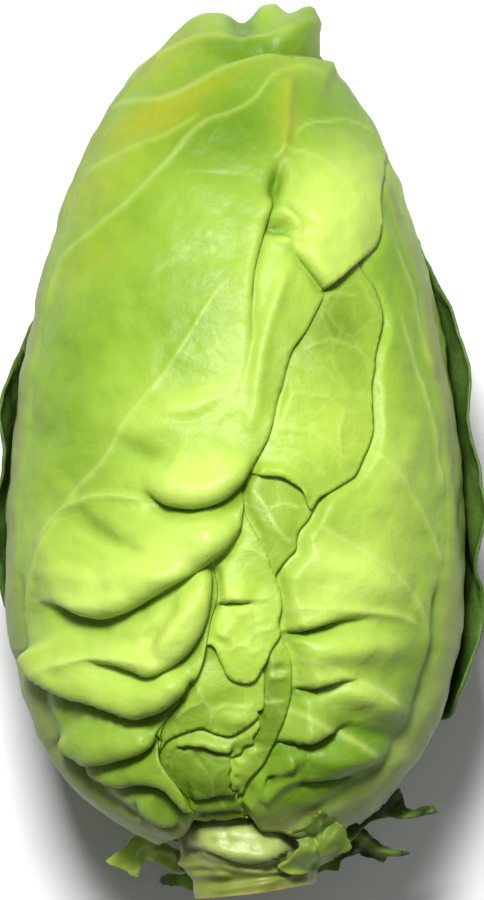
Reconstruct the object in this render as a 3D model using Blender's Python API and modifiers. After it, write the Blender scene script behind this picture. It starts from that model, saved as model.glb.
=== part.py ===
"""A pointed cabbage head, lying on its back with its stump towards -Y and its tip towards +Y.

Every leaf is a thin sheet laid over one egg-shaped head surface. A place on that surface is a turn
round the head (0 on top, a quarter turn at the right side) and a distance along its meridian from
the stump to the tip. A leaf stands at a height over the surface, and dips under the leaves above it.
Outlines are drawn as seen from above, in drawing units with the tip near row 0.
"""

import math
import random

import bmesh
import bpy
import numpy as np
from mathutils import Vector
from mathutils.geometry import delaunay_2d_cdt

# Driving dimensions, in metres
HEAD_HALF_WIDTH = 0.0634
HEAD_DEPTH_SHARE = 0.90
BASE_REACH = 0.0834
TIP_REACH = 0.1518
WIDEST_Y = -0.0283
AXIS_X = -0.0017
AXIS_Z = 0.0559
AXIS_TILT = 0.082
TIP_DROOP = 0.008
DROOP_START_Y = 0.060
DROOP_LENGTH = 0.0635
LEAF_THICKNESS = 0.0009
LEAF_GAP = 0.0011
COVER_MARGIN = 0.0035
COVER_RAMP = 0.45
FLAT_STEP = 0.0025
FLAT_LEAST = 0.001

# Shape of the meridian: powers of the rounded base and of the slimmer tip
BASE_POWERS = (2.4, 2.3)
TIP_POWERS = (1.95, 1.95)

# The drawing: real size of one unit, and the unit that lies over the origin
DRAWING_UNIT = 0.00028
DRAWING_MIDDLE = (242.0, 449.0)

# Guards of the arithmetic: a length past any in the part, and a number that stands in for zero
FAR_AWAY = 1.0
SMALL = 1e-12
SEEN_PASSES = 8
SEEN_STEP = 0.8
NORMAL_STEP = 0.0006
NORMAL_TURN = 0.01

# Mesh steps, in metres
FINE_STEP = 0.0042
COARSE_STEP = 0.0100
EDGE_STEP = 0.0055
EDGE_SHARE = 0.55
SEED_SHARE = 0.55
FOLD_REACH = 0.008
ROUND_END_SHARE = 0.17
FACET_REACH = 0.0026
SCATTER_SEED = 11
SEED_START = 0.002
STUB_STEP = 9.0
STUB_EDGE_MARGIN = 4.0

# Stump and core
STUMP_X = 0.0034
STUMP_FACE_Y = -0.1250
STUMP_RADIUS = 0.0172
COLLAR_RADIUS = 0.0182
CORE_TOP_Y = -0.040
CORE_TOP_RADIUS = 0.006
STEM_SEGMENTS = 32
MERGE_DISTANCE = 0.00005
SCAR_ANGLE = math.radians(84)
SCAR_SPREAD = math.radians(38)
SCAR_Y = -0.1085
SCAR_LENGTH = 0.0048
SCAR_RISE = 0.0042
CORE_GAP = 0.0006

# Torn leaf bases
STUMP_RIDGE = 0.03
STUB_THICKNESS = 0.0010
STUB_GAP = 0.0003
STUB_CLEARANCE = 0.0030

# Heart
HEART_LEVEL = -0.0030
HEART_GAP = 0.0020
HEART_COLUMNS = 32
HEART_ROWS = 30
HEART_ROUNDING = 0.12


def meridian_table():
    """Distance along the meridian, place along Y and half width, from stump pole to tip pole."""
    swing = np.linspace(0.0, math.pi, 1600)
    reach = np.where(swing < math.pi / 2, BASE_REACH, TIP_REACH)
    y = WIDEST_Y - reach * np.cos(swing)
    share = np.clip(np.abs(y - WIDEST_Y) / reach, 0.0, 1.0)
    base = (1.0 - share ** BASE_POWERS[0]) ** (1.0 / BASE_POWERS[1])
    tip = (1.0 - share ** TIP_POWERS[0]) ** (1.0 / TIP_POWERS[1])
    half = HEAD_HALF_WIDTH * np.where(swing < math.pi / 2, base, tip)
    steps = np.hypot(np.diff(y), np.diff(half))
    along = np.concatenate(([0.0], np.cumsum(steps)))
    return along, y, half


ALONG, ALONG_Y, ALONG_HALF = meridian_table()
ALONG_END = ALONG[-1]
HEART_START = 0.026
HEART_END = ALONG_END - 0.013


def half_width(along):
    """Half width of the head at a distance along the meridian."""
    return np.interp(along, ALONG, ALONG_HALF)


def flat_width(along):
    """Length that a radian of turn takes when the head is unrolled: fuller than true at its ends."""
    return np.sqrt(np.maximum(half_width(along), FLAT_LEAST) * HEAD_HALF_WIDTH)


def along_from_row(row):
    """Distance along the meridian of a drawing row."""
    return np.interp((DRAWING_MIDDLE[1] - row) * DRAWING_UNIT, ALONG_Y, ALONG)


def head_surface(turn, along):
    """Points of the bare head surface."""
    y = np.interp(along, ALONG, ALONG_Y)
    half = half_width(along)
    droop = TIP_DROOP * np.clip((y - DROOP_START_Y) / DROOP_LENGTH, 0.0, 1.0) ** 2
    z = AXIS_Z - AXIS_TILT * y - droop + HEAD_DEPTH_SHARE * half * np.cos(turn)
    return np.stack([AXIS_X + half * np.sin(turn), y, z], axis=-1)


def head_normal(turn, along):
    """Unit normals of the head surface, pointing out."""
    along = np.clip(along, 3 * NORMAL_STEP, ALONG_END - 3 * NORMAL_STEP)
    across = head_surface(turn + NORMAL_TURN, along) - head_surface(turn - NORMAL_TURN, along)
    up = head_surface(turn, along + NORMAL_STEP) - head_surface(turn, along - NORMAL_STEP)
    normal = np.cross(across, up)
    return normal / np.linalg.norm(normal, axis=-1, keepdims=True)


def raised(turn, along, height):
    """Points at a height over the head surface."""
    return head_surface(turn, along) + head_normal(turn, along) * np.asarray(height)[..., None]


def drawn(points):
    """Drawing places of points in space."""
    column = DRAWING_MIDDLE[0] + points[..., 0] / DRAWING_UNIT
    row = DRAWING_MIDDLE[1] - points[..., 1] / DRAWING_UNIT
    return np.stack([column, row], axis=-1)


def seen(places, level=0.0):
    """Turn and distance along of drawing places on the upper side, for a leaf at a level."""
    places = np.asarray(places, dtype=float)
    aim = places.copy()
    for _ in range(SEEN_PASSES):
        x = (aim[:, 0] - DRAWING_MIDDLE[0]) * DRAWING_UNIT - AXIS_X
        along = np.clip(along_from_row(aim[:, 1]), 0.004, ALONG_END - 0.003)
        turn = np.arcsin(np.clip(x / half_width(along), -0.999, 0.999))
        aim += SEEN_STEP * (places - drawn(raised(turn, along, np.full(len(turn), level))))
    return np.stack([turn, along], axis=-1)


def turned(places):
    """Turn and distance along of (degrees of turn, drawing row) pairs, for the sides and back."""
    places = np.asarray(places, dtype=float)
    return np.stack([np.radians(places[:, 0]), along_from_row(places[:, 1])], axis=-1)


def smooth_step(value, low, high):
    share = np.clip((value - low) / (high - low), 0.0, 1.0)
    return share * share * (3.0 - 2.0 * share)


def line_distance(points, line):
    """Signed distance from points to a polyline (plus on its right hand), and the share along it."""
    best = np.full(len(points), math.inf)
    signed = np.zeros(len(points))
    share = np.zeros(len(points))
    lengths = np.linalg.norm(np.diff(line, axis=0), axis=1)
    total = lengths.sum()
    run = 0.0
    for start, end, length in zip(line[:-1], line[1:], lengths):
        edge = (end - start) / length
        offset = points - start
        t = np.clip(offset @ edge, 0.0, length)
        gap = offset - t[:, None] * edge
        distance = np.linalg.norm(gap, axis=1)
        closer = distance < best
        side = edge[0] * offset[:, 1] - edge[1] * offset[:, 0]
        best = np.where(closer, distance, best)
        signed = np.where(closer, np.where(side > 0, distance, -distance), signed)
        share = np.where(closer, (run + t) / total, share)
        run += length
    return signed, share


def inside(points, outline):
    """Whether points lie inside a closed outline."""
    result = np.zeros(len(points), dtype=bool)
    for start, end in zip(outline, np.roll(outline, -1, axis=0)):
        crosses = (start[1] > points[:, 1]) != (end[1] > points[:, 1])
        rise = end[1] - start[1] if end[1] != start[1] else SMALL
        edge_x = start[0] + (points[:, 1] - start[1]) * (end[0] - start[0]) / rise
        result ^= crosses & (points[:, 0] < edge_x)
    return result


class Fold:
    """A rolled lip: the leaf rises to the line from its high side and drops beyond it.

    The high side is on the left when the line is followed in the drawing with rows downwards.
    """

    def __init__(self, line, height, reach=30.0, groove=0.0, drop=7.0):
        self.line = np.asarray(line, dtype=float)
        self.height = height
        self.reach = reach
        self.groove = groove
        self.drop = drop

    def lift(self, places):
        signed, share = line_distance(places, self.line)
        fade = np.sin(np.pi * np.clip(share, 0.0, 1.0)) ** 0.5
        high = np.clip(-signed, 0.0, None)
        low = np.clip(signed, 0.0, None)
        roll = np.where(signed <= 0.0, np.exp(-((high / self.reach) ** 1.5)),
                        1.0 - smooth_step(low, 0.0, self.drop))
        dip = self.groove * np.exp(-(((signed - self.drop) / (self.drop * 1.1)) ** 2))
        return fade * (self.height * roll - dip)


class Bulge:
    """A soft mound or hollow with an elliptical plan."""

    def __init__(self, centre, size, height, angle=0.0):
        self.centre = np.asarray(centre, dtype=float)
        self.size = size
        self.height = height
        self.angle = math.radians(angle)

    def lift(self, places):
        offset = places - self.centre
        along = offset[:, 0] * math.cos(self.angle) + offset[:, 1] * math.sin(self.angle)
        across = offset[:, 1] * math.cos(self.angle) - offset[:, 0] * math.sin(self.angle)
        return self.height * np.exp(-((along / self.size[0]) ** 2 + (across / self.size[1]) ** 2))


class Rib:
    """A raised rib along a line, whose half width and height taper from its start to its end."""

    def __init__(self, line, heights, widths):
        self.line = np.asarray(line, dtype=float)
        self.heights = heights
        self.widths = widths

    def lift(self, places):
        signed, share = line_distance(places, self.line)
        height = self.heights[0] + (self.heights[1] - self.heights[0]) * share
        width = self.widths[0] + (self.widths[1] - self.widths[0]) * share
        return height * np.exp(-((signed / width) ** 2))


class Leaf:
    """One leaf: its outline, its level over the head surface and the forms raised on it."""

    def __init__(self, name, middle, outline, level=0.0, forms=(), back_forms=()):
        self.name = name
        self.middle = math.radians(middle)
        self.outline = outline
        self.level = level
        self.forms = forms
        self.back_forms = back_forms

    def flat(self, turn, along):
        """Unrolled places: length round the head and length along it."""
        wrapped = (turn - self.middle + math.pi) % (2 * math.pi) - math.pi
        return np.stack([wrapped * flat_width(along), along], axis=-1)

    def flat_outline(self):
        turn, along = self.outline[:, 0], self.outline[:, 1]
        return np.stack([(turn - self.middle) * flat_width(along), along], axis=-1)

    def wish(self, turn, along):
        """Height that the leaf would take with nothing above it."""
        places = drawn(raised(turn, along, np.full(len(turn), self.level)))
        facing = smooth_step(np.cos(turn), -0.02, 0.12)
        height = np.full(len(turn), self.level)
        for form in self.forms:
            height = height + form.lift(places) * facing
        around = self.middle + self.flat(turn, along)[:, 0] / flat_width(along)
        row = DRAWING_MIDDLE[1] - np.interp(along, ALONG, ALONG_Y) / DRAWING_UNIT
        back = np.stack([np.degrees(around), row], axis=-1)
        for form in self.back_forms:
            height = height + form.lift(back)
        return height


def lowest_wish(leaf, turn, along):
    """Lowest height that a leaf would take within a facet's reach of each place."""
    sideways = FACET_REACH / np.maximum(half_width(along), FACET_REACH)
    lowest = leaf.wish(turn, along)
    for shift in (-1.0, 1.0):
        lowest = np.minimum(lowest, leaf.wish(turn + shift * sideways, along))
        lowest = np.minimum(lowest, leaf.wish(turn, along + shift * FACET_REACH))
    return lowest


def ceiling_under(leaves, undersides, turn, along):
    """Lowest of the undersides of the first leaves, which rises away from each leaf's outline."""
    ceiling = np.full(len(turn), FAR_AWAY)
    for upper, underside in zip(leaves, undersides):
        outline = upper.flat_outline()
        flat = upper.flat(turn, along)
        signed, _ = line_distance(flat, np.vstack([outline, outline[:1]]))
        outside = np.where(inside(flat, outline), 0.0, np.abs(signed))
        slope = COVER_RAMP * np.clip(outside - COVER_MARGIN, 0.0, None)
        ceiling = np.minimum(ceiling, underside + slope)
    return ceiling


def undersides_of(leaves, turn, along):
    """Undersides of leaves in stacking order, each kept under the ones before it."""
    undersides = []
    for leaf in leaves:
        ceiling = ceiling_under(leaves, undersides, turn, along)
        lowest = np.minimum(lowest_wish(leaf, turn, along), ceiling)
        undersides.append(lowest - LEAF_THICKNESS - LEAF_GAP)
    return undersides


def stacked_height(leaves, index, turn, along):
    """Height of one leaf, kept under every leaf above it in the list."""
    undersides = undersides_of(leaves[:index], turn, along)
    ceiling = ceiling_under(leaves, undersides, turn, along)
    return np.minimum(leaves[index].wish(turn, along), ceiling)


def heart_height(leaves, turn, along):
    """Height of the heart, close under the innermost leaf at each place."""
    ceiling = ceiling_under(leaves, undersides_of(leaves, turn, along), turn, along)
    return np.minimum(ceiling, HEART_LEVEL) - HEART_GAP


# Outlines, from the tip down the right edge and up the left edge
LEFT_LEAF_FRONT = [
    (384, 160), (381, 178), (377, 195), (376, 210), (380, 225), (378, 240), (372, 252), (355, 268),
    (340, 280), (325, 290), (322, 306), (300, 340), (289, 354), (285, 370), (278, 400), (270, 430),
    (255, 460), (240, 480), (243, 500), (243, 515), (236, 535), (224, 548), (211, 558), (215, 580),
    (214, 605), (206, 643), (199, 668), (182, 692), (168, 712), (158, 730), (160, 746), (170, 761),
    (182, 775), (189, 791), (194, 806),
]
LEFT_LEAF = np.vstack([
    turned([(104, 40), (106, 62), (104, 90), (102, 118), (98, 142)]),
    seen(LEFT_LEAF_FRONT),
    turned([(-28, 826), (-50, 833), (-80, 837), (-110, 838), (-140, 835), (-158, 808), (-172, 720),
            (-184, 620), (-190, 500), (-192, 380), (-192, 260), (-192, 160), (-190, 90),
            (-176, 48), (-145, 28), (-110, 18), (-70, 10), (0, 8.9), (70, 10.5)]),
])
MIDDLE_LEAF_FRONT = [
    (352, 262), (362, 280), (370, 290), (376, 308), (378, 330), (372, 355), (370, 380), (368, 410),
    (367, 440), (358, 462), (350, 475), (330, 490), (316, 496), (307, 508), (300, 490), (290, 483),
    (280, 478), (262, 476), (240, 472),
]
MIDDLE_LEAF = np.vstack([
    seen([(300, 150), (330, 200)], -0.0016),
    seen(MIDDLE_LEAF_FRONT, -0.0016),
    seen([(190, 500), (150, 600), (120, 700)], -0.0016),
    turned([(-36, 800), (-60, 815), (-72, 790), (-70, 700), (-56, 560), (-44, 420), (-30, 300),
            (-8, 200)]),
])
TONGUE_LEAF = np.vstack([
    seen([(215, 470), (236, 480), (244, 511), (262, 542), (271, 563), (277, 581), (278, 600),
          (275, 620), (277, 629), (270, 646), (262, 660), (253, 672), (240, 673), (228, 667),
          (222, 653), (215, 641), (207, 640), (190, 660), (165, 720), (162, 780)], -0.0032),
    turned([(-22, 812), (-36, 812), (-38, 720), (-33, 600), (-20, 500)]),
])
UNDER_MIDDLE_LEAF = np.vstack([
    seen([(215, 420), (290, 425), (330, 450), (322, 480), (309, 512), (298, 527), (293, 534),
          (292, 548), (285, 556), (275, 567), (270, 590), (255, 620), (225, 640), (200, 600),
          (190, 500)], -0.0034),
])
STRIP_LEAF = np.vstack([
    seen([(240, 540), (268, 545), (276, 600), (280, 634), (286, 650), (288, 670), (287, 689),
          (281, 710), (274, 729), (260, 753), (247, 768), (243, 800), (246, 818)], -0.0044),
    turned([(-2, 826), (-16, 822)]),
    seen([(226, 790), (224, 700), (228, 600)], -0.0044),
])
RIGHT_LEAF = np.vstack([
    seen([(268, 90), (330, 90)], -0.0030),
    turned([(62, 60), (100, 38), (140, 44), (172, 60), (186, 100), (192, 160), (194, 260),
            (194, 380), (194, 500), (188, 620), (176, 720), (160, 808), (142, 834), (110, 838),
            (80, 838), (54, 836)]),
    seen([(296, 812), (262, 806), (256, 780), (270, 752), (277, 728), (270, 690), (264, 640),
          (258, 560), (250, 470), (236, 380), (240, 250), (250, 150)], -0.0036),
])
THROAT_LEAF = np.vstack([
    seen([(190, 600), (240, 590), (256, 610), (262, 660), (261, 698), (257, 712), (246, 722),
          (232, 726), (219, 724), (203, 720), (184, 726), (168, 735)], -0.0040),
    turned([(-34, 780), (-50, 790), (-56, 720), (-46, 640)]),
])
FOLDED_LEAF = np.vstack([
    seen([(196, 692), (240, 690), (257, 706), (251, 722), (248, 734), (236, 742), (231, 753),
          (232, 766), (236, 780), (246, 788), (241, 798)], -0.0050),
    turned([(4, 832), (-22, 833), (-42, 828), (-50, 790), (-42, 742)]),
])
LEFT_WRAPPER = turned([
    (-96, 345), (-90, 372), (-86, 405), (-84, 440), (-84, 475), (-87, 510), (-91, 550), (-96, 600),
    (-104, 660), (-112, 720), (-122, 780), (-134, 822), (-150, 832), (-166, 830), (-176, 800),
    (-184, 740), (-194, 660), (-201, 560), (-203, 450), (-198, 350), (-186, 270), (-168, 215),
    (-150, 196), (-134, 210), (-120, 250), (-106, 300),
])
RIGHT_WRAPPER = turned([
    (96, 268), (90, 300), (86, 345), (84, 400), (82, 450), (80, 500), (79, 530), (81, 560),
    (86, 590), (88, 620), (86, 650), (85, 685), (90, 712), (100, 724), (112, 750), (124, 790),
    (138, 822), (152, 832), (170, 832), (182, 800), (192, 740), (202, 660), (208, 560), (210, 450),
    (206, 350), (196, 260), (180, 190), (160, 160), (140, 158), (122, 180), (108, 222),
])

LEFT_LEAF_FORMS = (
    Fold([(150, 495), (165, 501), (200, 505), (220, 498), (240, 480)], 0.0030, 46, 0.0016, 8),
    Fold([(50, 600), (63, 603), (85, 610), (103, 612), (116, 611), (144, 597), (168, 584),
          (192, 570), (212, 556)], 0.0032, 40, 0.0016, 8),
    Fold([(120, 650), (140, 663), (151, 668), (180, 654), (194, 641), (206, 617), (211, 586),
          (211, 558)], 0.0028, 34, 0.0014, 7),
    Fold([(18, 650), (35, 670), (51, 680), (72, 691), (96, 696), (116, 703), (137, 710),
          (151, 707), (166, 701), (182, 684), (196, 665)], 0.0034, 34, 0.0020, 8),
    Fold([(70, 750), (78, 753), (103, 754), (127, 748), (147, 741), (166, 722)], 0.0022, 26,
         0.0012, 7),
    Fold([(76, 752), (92, 767), (109, 776), (127, 779), (140, 775), (165, 780), (178, 792),
          (192, 808)], 0.0022, 24, 0.0012, 6),
    Fold([(240, 430), (252, 402), (256, 372), (258, 345), (270, 310), (283, 275), (292, 250)],
         0.0018, 22, 0.0006, 6),
    Fold([(291, 252), (310, 275), (325, 292), (352, 270)], 0.0022, 40, 0.0, 7),
    Bulge((330, 190), (52, 70), 0.0026, 20),
    Bulge((301, 130), (16, 46), 0.0012),
    Bulge((150, 440), (60, 34), 0.0018, -20),
    Bulge((272, 205), (9, 30), -0.0030),
    Bulge((264, 58), (60, 7), -0.0026, 4),
    Bulge((300, 12), (22, 34), 0.0052),
    Bulge((246, 10), (13, 30), -0.0020),
    Bulge((205, 14), (22, 30), 0.0010),
    Bulge((173, 634), (12, 34), 0.0012, 10),
    Rib([(125, 800), (80, 755), (45, 690), (24, 620), (20, 520), (24, 440), (33, 345), (46, 278),
         (77, 173), (117, 102), (160, 60)], (0.0014, 0.0003), (16, 5)),
)
MIDDLE_LEAF_FORMS = (
    Bulge((320, 380), (50, 90), 0.0010),
    Fold([(240, 474), (262, 477), (280, 479), (292, 484), (304, 500)], 0.0016, 20, 0.0, 6),
)
TONGUE_LEAF_FORMS = (
    Fold([(215, 600), (232, 594), (253, 594), (268, 600)], 0.0014, 20, 0.0008, 6),
    Bulge((236, 620), (26, 22), 0.0012),
)
STRIP_LEAF_FORMS = (
    Fold([(288, 668), (271, 672), (252, 692)], 0.0010, 18, 0.0, 5),
)
RIGHT_LEAF_FORMS = (
    Bulge((356, 560), (46, 40), 0.0030, 20),
    Bulge((366, 645), (60, 26), 0.0030, 12),
    Bulge((352, 706), (48, 20), 0.0026, 14),
    Bulge((340, 752), (48, 15), 0.0022, 4),
    Bulge((390, 480), (26, 90), 0.0014, 8),
    Bulge((300, 626), (34, 7), -0.0022, -8),
    Bulge((316, 684), (36, 7), -0.0022, -10),
    Bulge((312, 734), (44, 7), -0.0030, -8),
    Bulge((338, 768), (30, 5), -0.0014, -6),
    Rib([(330, 806), (385, 765), (425, 705), (446, 640), (453, 560), (453, 490), (447, 434),
         (432, 373), (423, 287), (404, 241), (384, 190)], (0.0014, 0.0003), (16, 5)),
)
FOLDED_LEAF_FORMS = (
    Fold([(250, 744), (224, 744), (200, 741), (178, 738)][::-1], 0.0016, 16, 0.0008, 6),
    Fold([(240, 786), (215, 788), (196, 792)][::-1], 0.0014, 14, 0.0006, 6),
)
LEFT_WRAPPER_BACK = (
    Rib([(-148, 832), (-146, 640), (-142, 430), (-140, 240)], (0.0016, 0.0002), (9, 3)),
    Bulge((-84, 430), (9, 60), 0.0026),
    Bulge((-190, 520), (14, 46), 0.0008),
    Bulge((-178, 330), (12, 60), 0.0010),
)
RIGHT_WRAPPER_BACK = (
    Rib([(156, 832), (150, 640), (146, 430), (144, 220)], (0.0016, 0.0002), (9, 3)),
    Bulge((79, 535), (11, 48), 0.0040),
    Bulge((84, 400), (9, 60), 0.0014),
    Bulge((86, 676), (10, 36), 0.0026),
    Bulge((112, 300), (12, 50), 0.0010),
)

# From the outermost leaf inwards
LEAVES = (
    Leaf("wrapper_right", 145, RIGHT_WRAPPER, 0.0018, (), RIGHT_WRAPPER_BACK),
    Leaf("wrapper_left", -145, LEFT_WRAPPER, 0.0018, (), LEFT_WRAPPER_BACK),
    Leaf("leaf_left", -45, LEFT_LEAF, 0.0, LEFT_LEAF_FORMS),
    Leaf("leaf_middle", -10, MIDDLE_LEAF, -0.0016, MIDDLE_LEAF_FORMS),
    Leaf("leaf_tongue", -20, TONGUE_LEAF, -0.0030, TONGUE_LEAF_FORMS),
    Leaf("leaf_under_middle", 0, UNDER_MIDDLE_LEAF, -0.0034, ()),
    Leaf("leaf_throat", -20, THROAT_LEAF, -0.0040, ()),
    Leaf("leaf_throat_folds", -20, FOLDED_LEAF, -0.0046, FOLDED_LEAF_FORMS),
    Leaf("leaf_strip", 0, STRIP_LEAF, -0.0048, STRIP_LEAF_FORMS),
    Leaf("leaf_right", 95, RIGHT_LEAF, 0.0, RIGHT_LEAF_FORMS),
)

# The leaves under the head, from the one that it rests on upwards
LOWEST_LEAVES = ("wrapper_right", "wrapper_left", "leaf_left", "leaf_right")

COLOURS = {
    "wrapper_right": (0.05, 0.14, 0.02, 1.0),
    "wrapper_left": (0.05, 0.14, 0.02, 1.0),
    "leaf_left": (0.36, 0.58, 0.05, 1.0),
    "leaf_middle": (0.42, 0.66, 0.07, 1.0),
    "leaf_tongue": (0.46, 0.70, 0.09, 1.0),
    "leaf_under_middle": (0.42, 0.66, 0.09, 1.0),
    "leaf_strip": (0.40, 0.64, 0.07, 1.0),
    "leaf_right": (0.38, 0.60, 0.06, 1.0),
    "leaf_throat": (0.34, 0.56, 0.07, 1.0),
    "leaf_throat_folds": (0.30, 0.50, 0.06, 1.0),
    "heart": (0.62, 0.72, 0.24, 1.0),
    "stem": (0.66, 0.70, 0.36, 1.0),
    "stub": (0.16, 0.34, 0.04, 1.0),
}
LEAF_ROUGHNESS = 0.42


def leaf_material(name, colour):
    material = bpy.data.materials.new(name)
    material.use_nodes = True
    shader = material.node_tree.nodes["Principled BSDF"]
    shader.inputs["Base Color"].default_value = colour
    shader.inputs["Roughness"].default_value = LEAF_ROUGHNESS
    shader.inputs["Metallic"].default_value = 0.0
    return material


def divided(outline, step):
    """A closed outline with long edges divided."""
    points = []
    for start, end in zip(outline, np.roll(outline, -1, axis=0)):
        count = max(1, math.ceil(np.linalg.norm(end - start) / step))
        points.extend(start + (end - start) * k / count for k in range(count))
    return np.asarray(points)


def form_spacing(leaf, turn, along):
    """Mesh step that a leaf's forms ask for: fine near them, coarse elsewhere and at the back."""
    places = drawn(raised(turn, along, np.full(len(turn), leaf.level)))
    nearest = np.full(len(turn), FAR_AWAY)
    for form in leaf.forms:
        if isinstance(form, Fold):
            signed, _ = line_distance(places, form.line)
            nearest = np.minimum(nearest, np.abs(signed) * DRAWING_UNIT)
        if isinstance(form, Bulge):
            offset = np.linalg.norm((places - form.centre) / max(form.size), axis=1)
            nearest = np.minimum(nearest, np.clip(offset - 0.8, 0.0, None) * 0.02)
    hidden = smooth_step(-np.cos(turn), -0.1, 0.1) * FOLD_REACH * 3.0
    share = smooth_step(nearest + hidden, 0.3 * FOLD_REACH, 2.2 * FOLD_REACH)
    round_ends = np.clip(half_width(along) * ROUND_END_SHARE, FINE_STEP, COARSE_STEP)
    return FINE_STEP + (round_ends - FINE_STEP) * share


def shared_places(leaves):
    """One seeded scatter of places over the whole head, which every leaf takes its vertices from.

    Leaves that lie over each other then bend at the same places, so their facets stay parallel.
    """
    seed_step = FINE_STEP * SEED_SHARE
    steps = round(2 * math.pi * HEAD_HALF_WIDTH / seed_step)
    turn, along = np.meshgrid(np.linspace(-math.pi, math.pi, steps, endpoint=False),
                              np.arange(SEED_START, ALONG_END, seed_step))
    turn, along = turn.ravel(), along.ravel()
    points = head_surface(turn, along)
    radius = np.min([form_spacing(leaf, turn, along) for leaf in leaves], axis=0)
    order = list(range(len(turn)))
    random.Random(SCATTER_SEED).shuffle(order)
    chosen = []
    taken = np.empty((0, 3))
    for number in order:
        if chosen and np.min(np.sum((taken - points[number]) ** 2, axis=1)) < radius[number] ** 2:
            continue
        chosen.append(number)
        taken = np.vstack([taken, points[number]])
    return turn[chosen], along[chosen], radius[chosen]


def leaf_object(leaves, index, shared, parts):
    """A leaf as a triangulated open sheet, thickened inwards by a Solidify modifier."""
    leaf = leaves[index]
    outline = divided(leaf.flat_outline(), EDGE_STEP)
    inner = leaf.flat(shared[0], shared[1])
    signed, _ = line_distance(inner, np.vstack([outline, outline[:1]]))
    inner = inner[inside(inner, outline) & (np.abs(signed) > EDGE_SHARE * shared[2])]
    places = [Vector(place) for place in np.vstack([outline, inner])]
    fill = delaunay_2d_cdt(places, [], [list(range(len(outline)))], 1, 1e-6)
    flat = np.array([tuple(place) for place in fill[0]])
    along = flat[:, 1]
    turn = leaf.middle + flat[:, 0] / flat_width(along)
    points = raised(turn, along, stacked_height(leaves, index, turn, along))
    if leaf.name in LOWEST_LEAVES:
        points[:, 2] = np.maximum(points[:, 2], FLAT_STEP * LOWEST_LEAVES.index(leaf.name))
    sheet = bmesh.new()
    corners = [sheet.verts.new(point) for point in points]
    for triangle in fill[2]:
        sheet.faces.new([corners[number] for number in triangle])
    bmesh.ops.recalc_face_normals(sheet, faces=sheet.faces)
    outward = head_normal(turn, along)
    sheet.verts.ensure_lookup_table()
    sheet.faces.ensure_lookup_table()
    face = sheet.faces[0]
    if face.normal.dot(Vector(outward[face.verts[0].index])) < 0.0:
        bmesh.ops.reverse_faces(sheet, faces=sheet.faces)
    mesh = bpy.data.meshes.new(leaf.name)
    sheet.to_mesh(mesh)
    sheet.free()
    mesh.shade_smooth()
    piece = bpy.data.objects.new(leaf.name, mesh)
    parts.objects.link(piece)
    wall = piece.modifiers.new("Thickness", "SOLIDIFY")
    wall.thickness = LEAF_THICKNESS
    wall.offset = -1.0
    piece.data.materials.append(leaf_material(leaf.name, COLOURS[leaf.name]))
    return piece


def core_profile(gap=0.0):
    """Radius and place along Y of the stem, from the core's top to the cut face."""
    return [
        (0.0, CORE_TOP_Y + gap), (CORE_TOP_RADIUS * 0.6 + gap, CORE_TOP_Y - 0.0006 + gap),
        (CORE_TOP_RADIUS + gap, CORE_TOP_Y - 0.004), (0.0095 + gap, -0.066), (0.0125 + gap, -0.086),
        (0.0150 + gap, -0.1000), (0.0166 + gap, -0.1045), (0.0172 + gap, -0.1090),
        (COLLAR_RADIUS + gap, -0.1135), (COLLAR_RADIUS + gap, -0.1165),
        (STUMP_RADIUS + gap, -0.1205), (STUMP_RADIUS - 0.0002 + gap, -0.1242 - gap),
        (STUMP_RADIUS - 0.0012 + gap, STUMP_FACE_Y - gap), (0.0, STUMP_FACE_Y - gap),
    ]


def stem_axis(y):
    """Middle of the stem at a place along Y: it leans from the head's axis to the stump's."""
    share = smooth_step(-y, 0.104, 0.122)
    return AXIS_X + (STUMP_X - AXIS_X) * share, AXIS_Z - AXIS_TILT * y


def scar_rise(angle, y):
    """Rise of the cut leaf base on the upper side of the stem."""
    turn = (angle - SCAR_ANGLE) / SCAR_SPREAD
    place = (y - SCAR_Y) / SCAR_LENGTH
    return SCAR_RISE * math.exp(-(turn ** 4) - place ** 4)


def turned_solid(name, profile, segments, ridge=0.0):
    """A closed turned body about the stem's axis, with optional ridges round its lower part."""
    body = bmesh.new()
    corners = [body.verts.new((radius, y, 0.0)) for radius, y in profile]
    edges = [body.edges.new(pair) for pair in zip(corners[:-1], corners[1:])]
    bmesh.ops.spin(body, geom=corners + edges, cent=(0, 0, 0), axis=(0, 1, 0), steps=segments,
                   angle=2 * math.pi, use_merge=True)
    bmesh.ops.remove_doubles(body, verts=body.verts, dist=MERGE_DISTANCE)
    for vert in body.verts:
        angle = math.atan2(vert.co.z, vert.co.x)
        lower = float(smooth_step(np.array(-vert.co.y), 0.098, 0.112))
        scale = 1.0 + ridge * lower * (math.sin(5 * angle + 0.6) + 0.5 * math.sin(9 * angle + 2.0))
        radius = math.hypot(vert.co.x, vert.co.z)
        if ridge and radius > 0.001:
            scale += scar_rise(angle, vert.co.y) / radius
        x, z = stem_axis(np.array(vert.co.y))
        vert.co.x = float(x) + vert.co.x * scale
        vert.co.z = float(z) + vert.co.z * scale
    bmesh.ops.recalc_face_normals(body, faces=body.faces)
    bmesh.ops.triangulate(body, faces=body.faces)
    mesh = bpy.data.meshes.new(name)
    body.to_mesh(mesh)
    body.free()
    return bpy.data.objects.new(name, mesh)


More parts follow.
